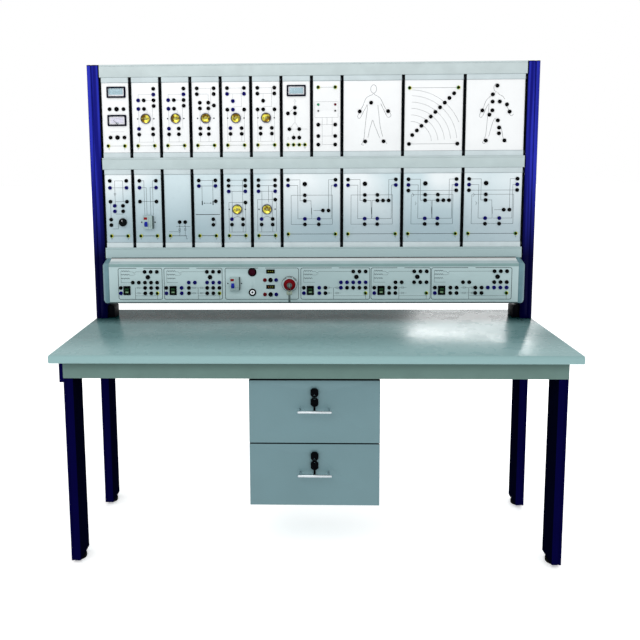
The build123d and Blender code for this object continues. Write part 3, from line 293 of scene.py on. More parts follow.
def gilded(name, colour, painted_reflection):
    """A lamp's gold reflector, with brown patches painted in as the reflection of what it mirrors."""
    look = Look(name, colour, 0.25, metal=1.0).mottled(9, 0.25).streaked(15, painted_reflection, 0.95)
    return look.worn(3, 0.08).rippled(1.5, 0.1).done()


def lens(name, colour, glow=0.0):
    """Coloured translucent plastic with a gloss coat."""
    look = Look(name, colour, 0.2, specular=0.15, coat=0.1)
    return look.mottled(5, 0.25).worn(4, 0.05).glowing(colour, glow).done()


def glass(name, colour, alpha):
    """A thin clear pane."""
    look = Look(name, colour, 0.05, specular=0.4)
    look.shader.inputs["Alpha"].default_value = alpha
    return look.mottled(30, 0.02).worn(20, 0.02).done()


# Each finish holds its colour and then what its maker takes after that
FINISHES = {
    board: {
        # Painted light and shade: lighter towards the front, and a dark band at the back, painted shade and
        # painted reflection of the console's underside
        "worktop_laminate": ((102, 135, 136), 0.28, 0.02,
                             [(1, -0.1, -0.26, (134, 165, 166)), (1, 0.08, 0.18, (2, 50, 52))]),
        # Painted shade: near black on the carcass's front edges, seen through the drawer gaps
        "cabinet_board": ((97, 126, 131), 0.45, 0.3, [(1, -0.2595, -0.2605, (14, 20, 22))]),
        # Painted shade: darker on the top and bottom edges of the drawer fronts, in the gaps between them
        "drawer_teal": ((97, 126, 132), 0.4, 0.3, (), (20, 30, 33)),
        "drawer_board": ((206, 200, 186), 0.5),
    },
    paint: {
        # Painted shade: darker towards the top, under the worktop's overhang
        "apron_grey": ((84, 111, 105), 0.35, 0.3, [(2, 0.69, 0.722, (68, 94, 89))]),
        # Painted shade: near black on the faces that look sideways
        "leg_blue": ((5, 4, 48), 0.6, 0, (), (2, 3, 18)),
        "side_rail_blue": ((5, 4, 52), 0.6, 0),
        # Painted shade: darker navy towards the bottom, near black on the faces that look sideways, and dark
        # vertical patches along the grooves between the ribs
        "upright_blue": ((38, 46, 164), 0.4, 0.03, [(2, 1.35, 1.0, (1, 1, 44))], (4, 4, 56), (8, 8, 96)),
        "bracket_black": ((4, 4, 10), 0.5, 0.04),
        # Painted shade: darker towards the bottom, so the lower rail is darker than the header
        "rail_grey": ((178, 190, 191), 0.35, 0.18, [(2, 1.5, 1.0, (150, 171, 173))]),
        "grip_aluminium": ((184, 196, 199), 0.35, 0.2),
        # Painted highlight: lighter on the top slope
        "console_grey": ((162, 180, 183), 0.35, 0.2, [(2, 0.986, 0.99, (214, 220, 220))]),
        # Painted shade of the console face's rolled top and bottom edges
        "trim_teal": ((120, 148, 148),),
        "trim_dark": ((52, 70, 72),),
    },
    sheet: {
        "panel_white": ((225, 227, 228), 0.35, 0.18),
        # Painted shade: darker towards the bottom of the lower panels
        "panel_silver": ((190, 206, 211), 0.3, 0.22, (224, 229, 231),
                         [(2, 1.3, 1.12, (142, 164, 173), 0.75)]),
        "console_face_grey": ((168, 189, 191), 0.35, 0.18),
        "meter_card": ((232, 232, 238), 0.5, 0.1),
        "meter_scale_tint": ((205, 203, 220), 0.5, 0.1),
        "liquid_crystal": ((146, 178, 190), 0.3),
    },
    plastic: {
        "foot_black": ((4, 4, 6), 0.6, 0.03),
        "cap_black": ((6, 5, 40), 0.45, 0.05),
        "module_black": ((2, 4, 6), 0.45, 0.02),
        "socket_black": ((1, 1, 2), 0.5, 0.015),
        "socket_blue": ((6, 4, 92), 0.5, 0.03),
        "socket_red": ((92, 4, 14), 0.5, 0.04),
        "socket_earth": ((190, 192, 40), 0.45, 0.15),
        "socket_green": ((70, 120, 30), 0.45, 0.15),
        "meter_dark": ((6, 8, 28), 0.4, 0.04),
        "smoked_window": ((3, 5, 2), 0.35, 0.02),
        "knob_black": ((3, 6, 7), 0.5, 0.05),
        "button_black": ((10, 10, 12), 0.45, 0.1),
        "breaker_white": ((150, 170, 170), 0.45, 0.15),
        "breaker_mark_red": ((118, 12, 18), 0.4, 0.1),
        "breaker_edge_grey": ((74, 88, 88), 0.5, 0.15),
        "toggle_blue": ((20, 34, 140), 0.4, 0.12),
        "console_cap_teal": ((98, 130, 138), 0.4, 0.2),
        "bezel_black": ((2, 4, 4), 0.45, 0.03),
        "rocker_black": ((3, 8, 5), 0.3, 0.05),
        "rocker_mark": ((120, 150, 120), 0.4, 0.2),
        "stop_red": ((98, 2, 10), 0.45, 0.06),
        "button_dark_red": ((44, 2, 18), 0.35, 0.04),
        "inlet_black": ((10, 10, 12), 0.45, 0.15),
        "key_black": ((2, 3, 5), 0.45, 0.02),
    },
    metal: {
        "contact_metal": ((34, 34, 32), 0.5),
        "lamp_bezel_metal": ((92, 92, 104), 0.25),
        "screw_dark": ((62, 66, 72), 0.35),
        "needle_black": ((40, 40, 44), 0.4),
        "switch_silver": ((222, 226, 230), 0.25),
        "key_metal": ((148, 160, 146), 0.45, (1, 1, 6)),
        "lock_steel": ((84, 98, 98), 0.4, (1, 1, 6)),
        "runner_steel": ((178, 180, 182), 0.35, (1, 30, 1)),
        "handle_metal": ((196, 204, 208), 0.3, (30, 1, 1)),
    },
    lens: {
        "lamp_glass": ((150, 150, 96),),
        "indicator_green": ((30, 128, 84), 0.1),
        "indicator_red": ((96, 6, 28),),
        "led_green": ((104, 112, 22), 0.1),
        "led_amber": ((150, 84, 30), 0.1),
        "rocker_green": ((30, 62, 34),),
    },
    ink: {
        "ink_grey": ((56, 62, 68),),
        "ink_dark": ((16, 24, 30),),
        "crystal_segments": ((112, 140, 150),),
        "joint_grey": ((120, 132, 138),),
    },
    gilded: {"lamp_gold": ((214, 204, 84), (84, 52, 10))},
    glass: {"pane_clear": ((236, 242, 244), 0.12)},
}
LOOKS = {name: make(name, *rest) for make, rows in FINISHES.items() for name, rest in rows.items()}


# Building pieces


def finish(mesh, looks):
    """Gives a mesh its finishes, by name."""
    mesh.materials.clear()
    for look in looks.split():
        mesh.materials.append(LOOKS[look])


def show(name, mesh, body, node=None):
    """The object of a mesh, riding on a body, and standing for a CAD node if one is named."""
    mesh.shade_smooth()
    mesh.set_sharp_from_angle(angle=SMOOTH)
    piece = bpy.data.objects.new(name, mesh)
    bpy.context.scene.collection.objects.link(piece)
    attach(piece, body)
    if node:
        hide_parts(node)


def softened(node, width, further=""):
    """A copy of a CAD node with its hard edges rounded, shown in place of the node."""
    source = frame["nodes"][node]
    mesh = source.data.copy()
    bm = bmesh.new()
    bm.from_mesh(mesh)
    bmesh.ops.remove_doubles(bm, verts=bm.verts, dist=MERGE)
    bmesh.ops.dissolve_limit(bm, angle_limit=math.radians(1), verts=bm.verts, edges=bm.edges)
    hard = [edge for edge in bm.edges if edge.is_manifold and edge.calc_face_angle(0) > SHARP]
    bmesh.ops.bevel(bm, geom=hard, offset=width * MM, segments=2, profile=0.5, affect="EDGES",
                    clamp_overlap=True)
    bm.to_mesh(mesh)
    bm.free()
    finish(mesh, SLOT_OF[node] + further)
    show(node + "_finished", mesh, source["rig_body"], node)
    return mesh


def polar(centre, radius, angle):
    """A point at an angle in degrees, anticlockwise from +X."""
    turn = math.radians(angle)
    return centre[0] + radius * math.cos(turn), centre[1] + radius * math.sin(turn)


def arc(centre, radius, start, end, steps=8):
    """Points along a circle between two angles."""
    return [polar(centre, radius, start + (end - start) * step / steps) for step in range(steps + 1)]


def rounded(low, high, radius, steps=4):
    """Outline of a rectangle with round corners, anticlockwise."""
    outline = []
    for x, z, start in ((high[0] - radius, low[1] + radius, -90), (high[0] - radius, high[1] - radius, 0),
                        (low[0] + radius, high[1] - radius, 90), (low[0] + radius, low[1] + radius, 180)):
        outline += arc((x, z), radius, start, start + 90, steps)
    return outline


def flowing(points, steps=5, closed=False):
    """A smooth curve through points."""
    count, found = len(points), []
    for index in range(count if closed else count - 1):
        picked = []
        for shift in (-1, 0, 1, 2):
            place = (index + shift) % count if closed else min(max(index + shift, 0), count - 1)
            picked.append(points[place])
        for step in range(steps):
            t = step / steps
            weights = (-t + 2 * t * t - t ** 3, 2 - 5 * t * t + 3 * t ** 3,
                       t + 4 * t * t - 3 * t ** 3, t ** 3 - t * t)
            found.append(tuple(sum(weight * one[axis] for weight, one in zip(weights, picked)) / 2
                               for axis in range(2)))
    return found if closed else found + [points[-1]]


class Shape:
    """Faces gathered for one object, each with the number of its material."""

    def __init__(self):
        self.points, self.faces, self.slots = [], [], []

    def add(self, points, faces, slot=0):
        first = len(self.points)
        self.points += [tuple(point) for point in points]
        self.faces += [tuple(first + index for index in face) for face in faces]
        self.slots += slot if isinstance(slot, list) else [slot] * len(faces)

    def lofted(self, rings, slots=0, cap=True):
        """A skin through rings of points, closed by a face over the last one."""
        count, faces, numbers = len(rings[0]), [], []
        for row in range(len(rings) - 1):
            here, there = row * count, (row + 1) * count
            for step in range(count):
                after = (step + 1) % count
                faces.append((here + step, here + after, there + after, there + step))
                numbers.append(slots[row] if isinstance(slots, list) else slots)
        if cap:
            last = (len(rings) - 1) * count
            faces.append(tuple(range(last, last + count)))
            numbers.append(slots[-1] if isinstance(slots, list) else slots)
        self.add([point for ring in rings for point in ring], faces, numbers)

    def turned(self, centre, profile, slots=0, segments=20, cap=True):
        """A form turned about a front-to-back axis from (radius, depth) pairs."""
        rings = []
        for radius, depth in profile:
            circle = arc((centre[0], centre[2]), radius, 0, 360, segments)[:-1]
            rings.append([(x, centre[1] + depth, z) for x, z in circle])
        self.lofted(rings, slots, cap)

    def plate(self, low, high, back, front, radius, edge=0.5, slots=0, window=None):
        """A rounded plate from its back to its front, with a rolled edge, and a window in it if asked."""
        steps = [(0, back), (0, front + edge), (0.3 * edge, front + 0.3 * edge), (edge, front)]
        rings = []
        for inset, depth in steps:
            outline = rounded((low[0] + inset, low[1] + inset), (high[0] - inset, high[1] - inset),
                              max(radius - inset, 0.1))
            rings.append([(x, depth, z) for x, z in outline])
        if window:
            for inset, depth in ((-edge, front), (0, front + edge), (0, back)):
                outline = rounded((window[0][0] + inset, window[0][1] + inset),
                                  (window[1][0] - inset, window[1][1] - inset), 1)
                rings.append([(x, depth, z) for x, z in outline])
        self.lofted(rings, slots, not window)

    def tube(self, path, radii, slot=0, segments=10):
        """A round bar along 3-D points, as thick at each as its radius says."""
        rings = []
        for index, point in enumerate(path):
            ahead = Vector(path[min(index + 1, len(path) - 1)]) - Vector(path[max(index - 1, 0)])
            upright = abs(ahead.z) >= 0.9 * ahead.length
            side = ahead.cross(Vector((1, 0.2, 0) if upright else (0.3, 0.2, 1))).normalized()
            rise = side.cross(ahead).normalized()
            turns = [2 * math.pi * step / segments for step in range(segments)]
            rings.append([Vector(point) + radii[index] * (side * math.cos(turn) + rise * math.sin(turn))
                          for turn in turns])
        self.lofted(rings[::-1], slot, False)
        for ring in (rings[0], rings[-1]):
            self.add(ring, [tuple(range(segments))], slot)

    def line(self, path, width, face, slot=0, closed=False, proud=0.15):
        """A printed line along (x, z) points: a thin strip just in front of a face."""
        sides, count = [], len(path)
        for index, (x, z) in enumerate(path):
            before = path[index - 1] if index or closed else None
            after = path[(index + 1) % count] if index < count - 1 or closed else None
            normals = []
            for start, end in ((before, (x, z)), ((x, z), after)):
                if start and end:
                    dx, dz = end[0] - start[0], end[1] - start[1]
                    length = math.hypot(dx, dz) or 1
                    normals.append((-dz / length, dx / length))
            nx, nz = [sum(one[axis] for one in normals) / len(normals) for axis in range(2)]
            scale = width / 2 / max(0.3, nx * nx + nz * nz)
            sides.append(((x + nx * scale, z + nz * scale), (x - nx * scale, z - nz * scale)))
        points, faces = [], []
        for left, right in sides:
            points += [(left[0], face, left[1]), (left[0], face - proud, left[1]),
                       (right[0], face - proud, right[1]), (right[0], face, right[1])]
        for index in range(count if closed else count - 1):
            here, there = 4 * index, 4 * ((index + 1) % count)
            faces += [(here + row, here + row + 1, there + row + 1, there + row) for row in range(3)]
        self.add(points, faces, slot)

    def build(self, name, body, looks, node=None):
        """The object of the shape, its sizes brought to metres."""
        mesh = bpy.data.meshes.new(name)
        mesh.from_pydata([[value * MM for value in point] for point in self.points], [], self.faces)
        finish(mesh, looks)
        mesh.polygons.foreach_set("material_index", self.slots)
        mesh.update()
        show(name, mesh, body, node)


# Sockets


SOCKET_OUTLINE = [(7.4, 0), (7.4, -2.9), (6.9, -3.7), (6.2, -4), (3, -4), (2.6, -3.6), (2.5, -0.6),
                  (1.6, -0.6), (1.6, -2.4), (0.8, -2.4)]
EARTH_OUTLINE = [(7, 0), (7, -3), (6.4, -3.8), (5.6, -4), (5.3, -3.8), (2.8, -3.8), (2.5, -3.4),
                 (2.4, -0.6), (1.2, -0.6)]
SOCKET_SEGMENTS = 20
GREEN_SIDE = range(5, 15)
LARGE_SOCKET = 1.2
LARGE_SOCKET_WIDTH = 15

# Under the lamps the lowest left socket is black, though the frame holds it among the blue ones
BLACK_ROW = 16
BLACK_LEVELS = [loose_parts("module_boxes")[first].high.z - FIRST_HOLE_DEPTH - BLACK_ROW * HOLE_GRID
                for first in (0, LOWER_ROW)]


def sockets(name, node):
    """Round safety sockets at the places of a CAD node's collars, the large ones scaled up."""
    shape = Shape()
    for part in loose_parts(node):
        factor = LARGE_SOCKET if part.size.x > LARGE_SOCKET_WIDTH else 1
        outline = [(radius * factor, depth) for radius, depth in SOCKET_OUTLINE]
        black = any(abs(part.middle.z - level) < 1 for level in BLACK_LEVELS)
        centre = (part.middle.x, part.high.y, part.middle.z)
        shape.turned(centre, outline, [2 if black else 0] * 7 + [1] * 3)
    shape.build(name, "bench", SLOT_OF[node] + " contact_metal socket_black", node)


def earth_sockets():
    """Earth sockets: a green and yellow collar around a black insert."""
    shape = Shape()
    for part in loose_parts("earth_sockets"):
        first = len(shape.faces)
        shape.turned((part.middle.x, part.high.y, part.middle.z), EARTH_OUTLINE, [0] * 4 + [2] * 4 + [3])
        for number in range(first, len(shape.faces)):
            if shape.slots[number] == 0 and (number - first) % SOCKET_SEGMENTS in GREEN_SIDE:
                shape.slots[number] = 1
    shape.build("earth_safety_sockets", "bench", "socket_earth socket_green socket_black contact_metal",
                "earth_sockets")


for colour in ("black", "blue", "red"):
    sockets(colour + "_safety_sockets", colour + "_sockets")
earth_sockets()


# Lamps, indicators and test buttons


BEZEL_OUTLINE = [(20, 0), (20, -5), (19.3, -7), (18.2, -8), (17.2, -7.8), (16.4, -6.4), (16, -4), (16, 0)]
DISH_OUTLINE = [(16, -5.2), (15.4, -5), (12, -3.4), (8, -2.4), (5.2, -2)]
BULB_OUTLINE = [(5, 0), (5, -1.4), (4.5, -2.7), (3.2, -3.7), (1.4, -4)]
POST_OUTLINE = [(1.8, 0), (1.8, -1.6), (0.9, -2.2)]
POST_PLACE, POST_DEPTH = 9.5, 2.2
BUTTON_OUTLINE = [(1.75, 7.8), (1.75, 2), (3.5, 2), (3.5, 0.8), (3.1, 0.3), (2, 0)]
INDICATOR_LEVEL = 1580
BETWEEN_INDICATORS = 60


def lamps():
    """Metal bezels and gilded dishes, with two posts beside the place of each bulb."""
    bezels, dishes = Shape(), Shape()
    for part in loose_parts("lamp_bezels"):
        x, y, z = part.back
        bezels.turned(part.back, BEZEL_OUTLINE, 0, 28, False)
        dishes.turned(part.back, DISH_OUTLINE, 0, 28)
        for side in (-POST_PLACE, POST_PLACE):
            dishes.turned((x + side, y - POST_DEPTH, z), POST_OUTLINE, 1, 8)
    bezels.build("lamp_rings", "bench", "lamp_bezel_metal", "lamp_bezels")
    dishes.build("lamp_dishes", "bench", "lamp_gold screw_dark", "lamp_reflectors")


def bulbs():
    """The lamps' bulbs and the green and red indicators."""
    shape = Shape()
    for part in loose_parts("lamp_bulbs"):
        slot = 0
        if part.centre.z > INDICATOR_LEVEL:
            slot = 1 if part.centre.x < BETWEEN_INDICATORS else 2
        shape.turned(part.back, BULB_OUTLINE, slot, 16)
    shape.build("lamp_and_indicator_bulbs", "bench", "lamp_glass indicator_green indicator_red",
                "lamp_bulbs")


def turned_control(node, body, name, looks, outline, slots=0, segments=28):
    """A control turned from its front inwards, in place of a CAD node."""
    part = loose_parts(node)[0]
    shape = Shape()
    shape.turned(part.front, outline, slots, segments)
    shape.build(name, body, looks, node)


lamps()
bulbs()
for side in ("left", "right"):
    node = side + "_test_button"
    turned_control(node, side + "_test", node + "_cap", "button_black", BUTTON_OUTLINE, 0, 12)


# Displays and the pointer meter


PANE_WIDTH = 50
BETWEEN_LED_WINDOWS = 920


def panes():
    """The meters' clear panes and the two small smoked LED windows."""
    clear, smoked = Shape(), Shape()
    for part in loose_parts("display_windows"):
        low, high = part.window
        if part.size.x > PANE_WIDTH:
            clear.plate(low, high, part.high.y, part.low.y, 1, 0.3)
            continue
        smoked.plate(low, high, part.high.y, part.low.y, 1.5, 0.4)
        upper = part.centre.z > BETWEEN_LED_WINDOWS
        for step, length in ((-1, 4), (0, 3), (1, 4)):
            x, z = part.centre.x + step * 8, part.centre.z
            slot = 1 if upper else (2, 1, 1)[step + 1]
            smoked.line([(x - length / 2, z), (x + length / 2, z)], 3, part.low.y, slot)
    clear.build("meter_panes", "bench", "pane_clear", "display_windows")
    smoked.build("supply_led_windows", "bench", "smoked_window led_green led_amber")


def meters():
    """The dark cases, and behind their panes two liquid crystals and a pointer's scale."""
    cases, cards = Shape(), Shape()
    for number, (case, pane) in enumerate(zip(loose_parts("meter_cases"), loose_parts("display_windows"))):
        low, high = case.window
        cases.plate(low, high, case.high.y, case.low.y, 3, 0.8, 0, pane.window)
        (x0, z0), (x1, z1) = pane.window
        cases.line(rounded((x0, z0), (x1, z1), 1), 2.4, case.low.y, 0, True)
        card = case.high.y - 0.6
        front = card - 0.3
        cards.plate((x0, z0), (x1, z1), case.high.y, card, 0.5, 0.2)
        if number < 2:
            left, right, bottom, top = ((1, 6, 7, 0), (5, 5, 5, 5))[number]
            cards.plate((x0 + left, z0 + bottom), (x1 - right, z1 - top), card, front, 1, 0.1, 1)
            for step in range(4):
                x, z = pane.centre.x + step * 8 - 13, pane.centre.z
                digit = [(x, z - 4), (x, z + 4), (x + 4, z + 4), (x + 4, z - 4)]
                cards.line(digit, 0.7, front, 4, True)
        else:
            cards.plate((x0 + 7, z0 + 6), (x1 - 7, z1 - 5), card, front, 2, 0.1, 2)
            dial_scale(cards, (pane.centre.x, z0 + 3), front)
    cases.build("meter_case_frames", "bench", "meter_dark", "meter_cases")
    cards.build("meter_cards", "bench",
                "meter_card liquid_crystal meter_scale_tint ink_grey crystal_segments")


def dial_scale(shape, pivot, face):
    """A thin scale arc with its ticks, and the cover of the movement at the bottom."""
    radius = 21
    shape.line(arc(pivot, radius, 45, 135, 12), 0.4, face, 3)
    for step in range(11):
        angle, length = 45 + 9 * step, 2.4 if step % 5 == 0 else 1.4
        shape.line([polar(pivot, radius, angle), polar(pivot, radius + length, angle)], 0.3, face, 3)
    shape.line(arc(pivot, 5, 20, 160, 10), 3, face, 4)


panes()
meters()


# Knob and breakers


KNOB_OUTLINE = [(3, 20.3), (3, 14), (16.5, 13.8), (16.5, 12), (14.5, 10), (13.8, 2), (13, 0.6), (11.5, 0)]
KNOB_SEGMENTS = 32
KNOB_GROOVE = 0.93


def knob():
    """A ribbed knob with a white pointer line."""
    part = loose_parts("rotary_knob")[0]
    x, front, z = part.front
    shape = Shape()
    shape.turned(part.front, KNOB_OUTLINE, 0, KNOB_SEGMENTS)
    for index, point in enumerate(shape.points):
        ring, step = divmod(index, KNOB_SEGMENTS)
        if 4 <= ring <= 6 and step % 4 == 0:
            shape.points[index] = (x + (point[0] - x) * KNOB_GROOVE, point[1],
                                   z + (point[2] - z) * KNOB_GROOVE)
    shape.line([(x, z + 4), (x, z + 11)], 1.2, front, 1)
    shape.build("rotary_knob_ribbed", "knob", "knob_black meter_card", "rotary_knob")


def breakers():
    """Modular breakers: a pale body with a stepped front, a dark right edge and a red mark."""
    shape = Shape()
    toggles = [loose_parts(place + "_breaker_toggle")[0] for place in ("module", "console")]
    for body, toggle in zip(loose_parts("breaker_bodies"), toggles):
        (x0, z0), (x1, z1) = body.window
        back, front = body.high.y, body.low.y
        shape.plate((x0, z0), (x1 - 4, z1), back, front, 1.2, 0.8)
        shape.plate((x1 - 5, z0 + 0.5), (x1, z1 - 0.5), back, front + 2, 1, 0.6, 1)
        shape.plate((x0 + 3, z1 - 15), (x0 + 17, z1 - 5), front + 0.2, front - 0.3, 1, 0.2, 2)
        shape.plate((toggle.low.x - 0.8, z0 + 9), (toggle.high.x + 0.8, z0 + 22), front + 0.2, front - 0.2,
                    1, 0.1, 3)
        for share in (0.55, 0.72):
            x = x0 + share * (x1 - x0)
            shape.line([(x, z0 + 3), (x, z1 - 3)], 0.8, front, 1)
        shape.line([(x0 + 20, z0 + 12), (x1 - 6, z0 + 12)], 0.6, front, 1)
    shape.build("breaker_cases", "bench", "breaker_white breaker_edge_grey breaker_mark_red toggle_blue",
                "breaker_bodies")


knob()
breakers()


# Console controls


STOP_RING_WIDTH = 50
ROCKER_FRAME_DEPTH = 5
ROCKER_FRAME_WIDTH = 3.6
STOP_RING_OUTLINE = [(31, 0), (31, -2.4), (30.4, -2.9), (29.8, -3), (8.6, -3), (8.4, 0)]
STOP_OUTLINE = [(8, 39.3), (8, 21), (13, 21), (13, 14), (22.4, 14), (23.5, 12.6), (23.4, 9.5), (22.2, 6),
                (19.6, 2.8), (16, 0.8), (12.2, 0), (10, 0)]
STOP_LOCK_OUTLINE = [(10, 0.4), (10, -3.2), (9.2, -4), (3.4, -4), (3.2, -3.4), (1, -3.4)]
LENS_OUTLINE = [(12.5, 10), (12.5, 2.2), (11.8, 1.2), (9, 0.5), (5, 0.1), (2, 0)]
BARREL_OUTLINE = [(9.5, 7), (9.5, 0.8), (8.9, 0.1), (7.6, 0), (4.2, 0.3), (3.6, 0.9), (1, 0.9)]
STOP_DEPTH = 19.3
KEY_RING_WIRE = 0.75
KEY_RING_TURN = math.radians(50)
ARROW_RADIUS = 27.3
ARROW_ANGLES = ((148, 122), (107, 78), (62, 36))


def control_bezels():
    """The rockers' frames, the rings of the push-button and key switch, and the stop's label ring."""
    black, label = Shape(), Shape()
    for part in loose_parts("control_bezels"):
        outer, rim = part.size.x / 2, ROCKER_FRAME_WIDTH
        if part.size.x > STOP_RING_WIDTH:
            label.turned(part.back, STOP_RING_OUTLINE, [1, 1, 1, 0, 0], 40, False)
            stop_arrows(label, part.back, part.low.y)
        elif part.size.y > ROCKER_FRAME_DEPTH:
            (x0, z0), (x1, z1) = part.window
            black.plate((x0, z0), (x1, z1), part.high.y, part.low.y, 1.5, 0.8, 0,
                        ((x0 + rim, z0 + rim), (x1 - rim, z1 - rim)))
        else:
            inner = 12.8 if outer > 16 else 9.8
            outline = [(outer, 0), (outer, -1.8), (outer - 0.8, -2.8), (outer - 1.8, -3), (inner + 0.6, -3),
                       (inner, -2.4), (inner, 0)]
            black.turned(part.back, outline, 0, 32, False)
    black.build("switch_frames", "bench", "bezel_black", "control_bezels")
    label.build("stop_label_ring", "bench", "console_face_grey bezel_black")


def stop_arrows(shape, centre, face):
    """Three arrows along the top of the label ring, which show how the button turns free."""
    for start, end in ARROW_ANGLES:
        path = arc((centre[0], centre[2]), ARROW_RADIUS, start, end, 6)
        shape.line(path, 1.8, face, 1)
        (x0, z0), (x1, z1) = path[-2:]
        length = math.hypot(x1 - x0, z1 - z0)
        dx, dz = (x1 - x0) / length, (z1 - z0) / length
        head = [(x1 - dz * 2.6, z1 + dx * 2.6), (x1 + dz * 2.6, z1 - dx * 2.6), (x1 + dx * 4, z1 + dz * 4)]
        shape.add([(x, face - 0.2, z) for x, z in head], [(0, 1, 2)], 1)


def rocker(name):
    """A rocker with a translucent green middle on its two slopes, and a pale mark near the bottom."""
    mesh = softened(name, 0.6, " rocker_green rocker_mark")
    bm = bmesh.new()
    bm.from_mesh(mesh)
    slopes = [face for face in bm.faces if face.normal.y < -0.9 and face.calc_area() > 100 * MM * MM]
    bmesh.ops.inset_individual(bm, faces=slopes, thickness=2.6 * MM)
    for face in slopes:
        face.material_index = 1
    low = min(slopes, key=lambda face: face.calc_center_median().z)
    bmesh.ops.inset_individual(bm, faces=[low], thickness=3 * MM)
    low.material_index = 2
    bm.to_mesh(mesh)
    bm.free()


def hoop(centre, across, up, steps):
    """A closed ring of points about a centre, reaching as far as two arms."""
    angles = [2 * math.pi * step / steps for step in range(steps + 1)]
    return [Vector(centre) + math.cos(angle) * Vector(across) + math.sin(angle) * Vector(up)
            for angle in angles]


def stop_button():
    """A red mushroom button on its stem, with a metal lock at its middle and the key that stands in it."""
    part = loose_parts("stop_button")[0]
    x, front, z = part.centre.x, part.low.y + STOP_DEPTH, part.centre.z
    shape = Shape()
    shape.turned((x, front, z), STOP_OUTLINE, 0, 40, False)
    shape.turned((x, front, z), STOP_LOCK_OUTLINE, [3, 3, 3, 3, 2, 2], 28)
    shape.line([(x - 6, z - 5), (x + 6, z + 5)], 3.4, front - 4, 2)
    shape.tube(hoop((x, part.low.y + 8.6, z - 1), (0, -6.6, 0), (0, 0, 9), 24), [1] * 25, 1, 6)
    shape.build("stop_mushroom", "stop", "stop_red key_metal breaker_edge_grey lock_steel", "stop_button")


def emergency_key():
    """The stop's spare key: a split ring, a pale bow with its eye, and a blade."""
    ring, bow, blade = loose_parts("emergency_key")
    radius = ring.size.z / 2 - KEY_RING_WIRE
    across = (-radius * math.sin(KEY_RING_TURN), radius * math.cos(KEY_RING_TURN), 0)
    shape = Shape()
    shape.tube(hoop(ring.centre, across, (0, 0, radius), 32), [KEY_RING_WIRE] * 33, 1, 6)
    x, top = bow.centre.x, bow.high.z
    shape.plate((x - 11, top - 18), (x + 11, top), bow.high.y, bow.low.y, 6, 0.4, 0,
                ((x - 3.4, top - 7.6), (x + 3.4, top - 1.6)))
    shape.plate((x - 4.2, blade.low.z), (x + 4.2, top - 17), blade.high.y, blade.low.y, 1.5, 0.3, 1)
    shape.build("stop_spare_key", "stop_hanging_key", "key_metal lock_steel", "emergency_key")


def key_switch():
    """The key switch's barrel: a bright face around a dark keyway."""
    part = loose_parts("key_switch")[0]
    x, front, z = part.front
    shape = Shape()
    shape.turned(part.front, BARREL_OUTLINE, [0] * 5 + [1] * 2, 28)
    shape.line([(x, z - 4.5), (x, z + 4.5)], 2, front + 0.9, 1, False, 0.8)
    shape.build("key_switch_barrel", "key_barrel", "switch_silver bezel_black", "key_switch")


control_bezels()
for name in ("rocker_1", "rocker_2", "rocker_3", "rocker_4", "rocker_5"):
    rocker(name)
stop_button()
emergency_key()
turned_control("push_button", "lit_button", "push_button_lens", "button_dark_red", LENS_OUTLINE)
key_switch()


# Handles, screws and the console's painted edge shade


HANDLE_STATIONS = [(0, 0.3), (0.8, 0.8), (2, 1)]
HANDLE_POST = 48
SCREW_OUTLINE = [(2.9, 0), (2.8, -0.6), (2, -1.3), (0.8, -1.5)]
SCREW_PLACES = {"lamp_bezels": (-32, 32), "breaker_bodies": (-29, 25)}


def handle(name, body):
    """A bar with rounded ends on two posts."""
    part = loose_parts(name)[0]
    radius, middle = part.size.z / 2, part.centre.x
    y, z = part.low.y + radius, part.centre.z
    ends = [(part.low.x + along, share) for along, share in HANDLE_STATIONS] + [(middle, 1)]
    ends += [(part.high.x - along, share) for along, share in HANDLE_STATIONS[::-1]]
    shape = Shape()
    shape.tube([(x, y, z) for x, _ in ends], [radius * share for _, share in ends], 0, 20)
    for x in (middle - HANDLE_POST, middle + HANDLE_POST):
        shape.tube([(x, y, z), (x, part.high.y, z)], [3.5, 3.5], 0, 16)
    shape.build(name + "_bar", body, "handle_metal", name)


def panel_screws():
    """Dark screws beside the lamps and the breakers."""
    shape = Shape()
    for node, sides in SCREW_PLACES.items():
        for part in loose_parts(node):
            for side in sides:
                x, y, z = Vector(part.back) + Vector((side, 0, 0))
                shape.turned((x, y, z), SCREW_OUTLINE, 0, 12)
                shape.line([(x - 1.8, z - 1), (x + 1.8, z + 1)], 0.6, y - 1.4, 1)
    shape.build("panel_screws", "bench", "screw_dark bezel_black")


def bar_clips():
    """A small grey clip near each end of the black bars between the modules."""
    shape = Shape()
    for part in loose_parts("module_boxes"):
        x = part.high.x - 2.9
        for z in (part.high.z - 16, part.low.z + 14):
            shape.plate((x - 1.2, z - 5), (x + 1.2, z + 5), part.low.y, part.low.y - 0.8, 1, 0.3)
    shape.build("bar_clips", "bench", "screw_dark")


def console_edge_shade():
    """Painted shade: flat strips darker than the console's face along its rolled top and bottom edges, and a
    black strip below the rail as painted shadow of the gap between rail and console.
    """
    panel, rail = loose_parts("console_panel")[0], loose_parts("lower_rail")[0]
    (x0, z0), (x1, z1) = panel.window
    shape = Shape()
    shape.plate((x0, z1 - 13), (x1, z1 - 1), panel.low.y, panel.low.y - 0.8, 1, 0.6)
    shape.plate((x0, z0), (x1, z0 + 5), panel.low.y, panel.low.y - 0.8, 1, 0.6, 1)
    # A black strip, painted shadow of the gap between the lower rail and the console
    shape.plate((x0, rail.low.z + 0.2), (x1, rail.low.z + 3), rail.low.y, rail.low.y - 0.8, 0.6, 0.3, 2)
    shape.build("console_edge_trims", "bench", "trim_teal trim_dark bezel_black")


for place in ("upper", "lower"):
    handle(place + "_drawer_handle", place + "_drawer")
panel_screws()
bar_clips()
console_edge_shade()


# Bench, rack and cabinet: the frame's shapes with rounded edges


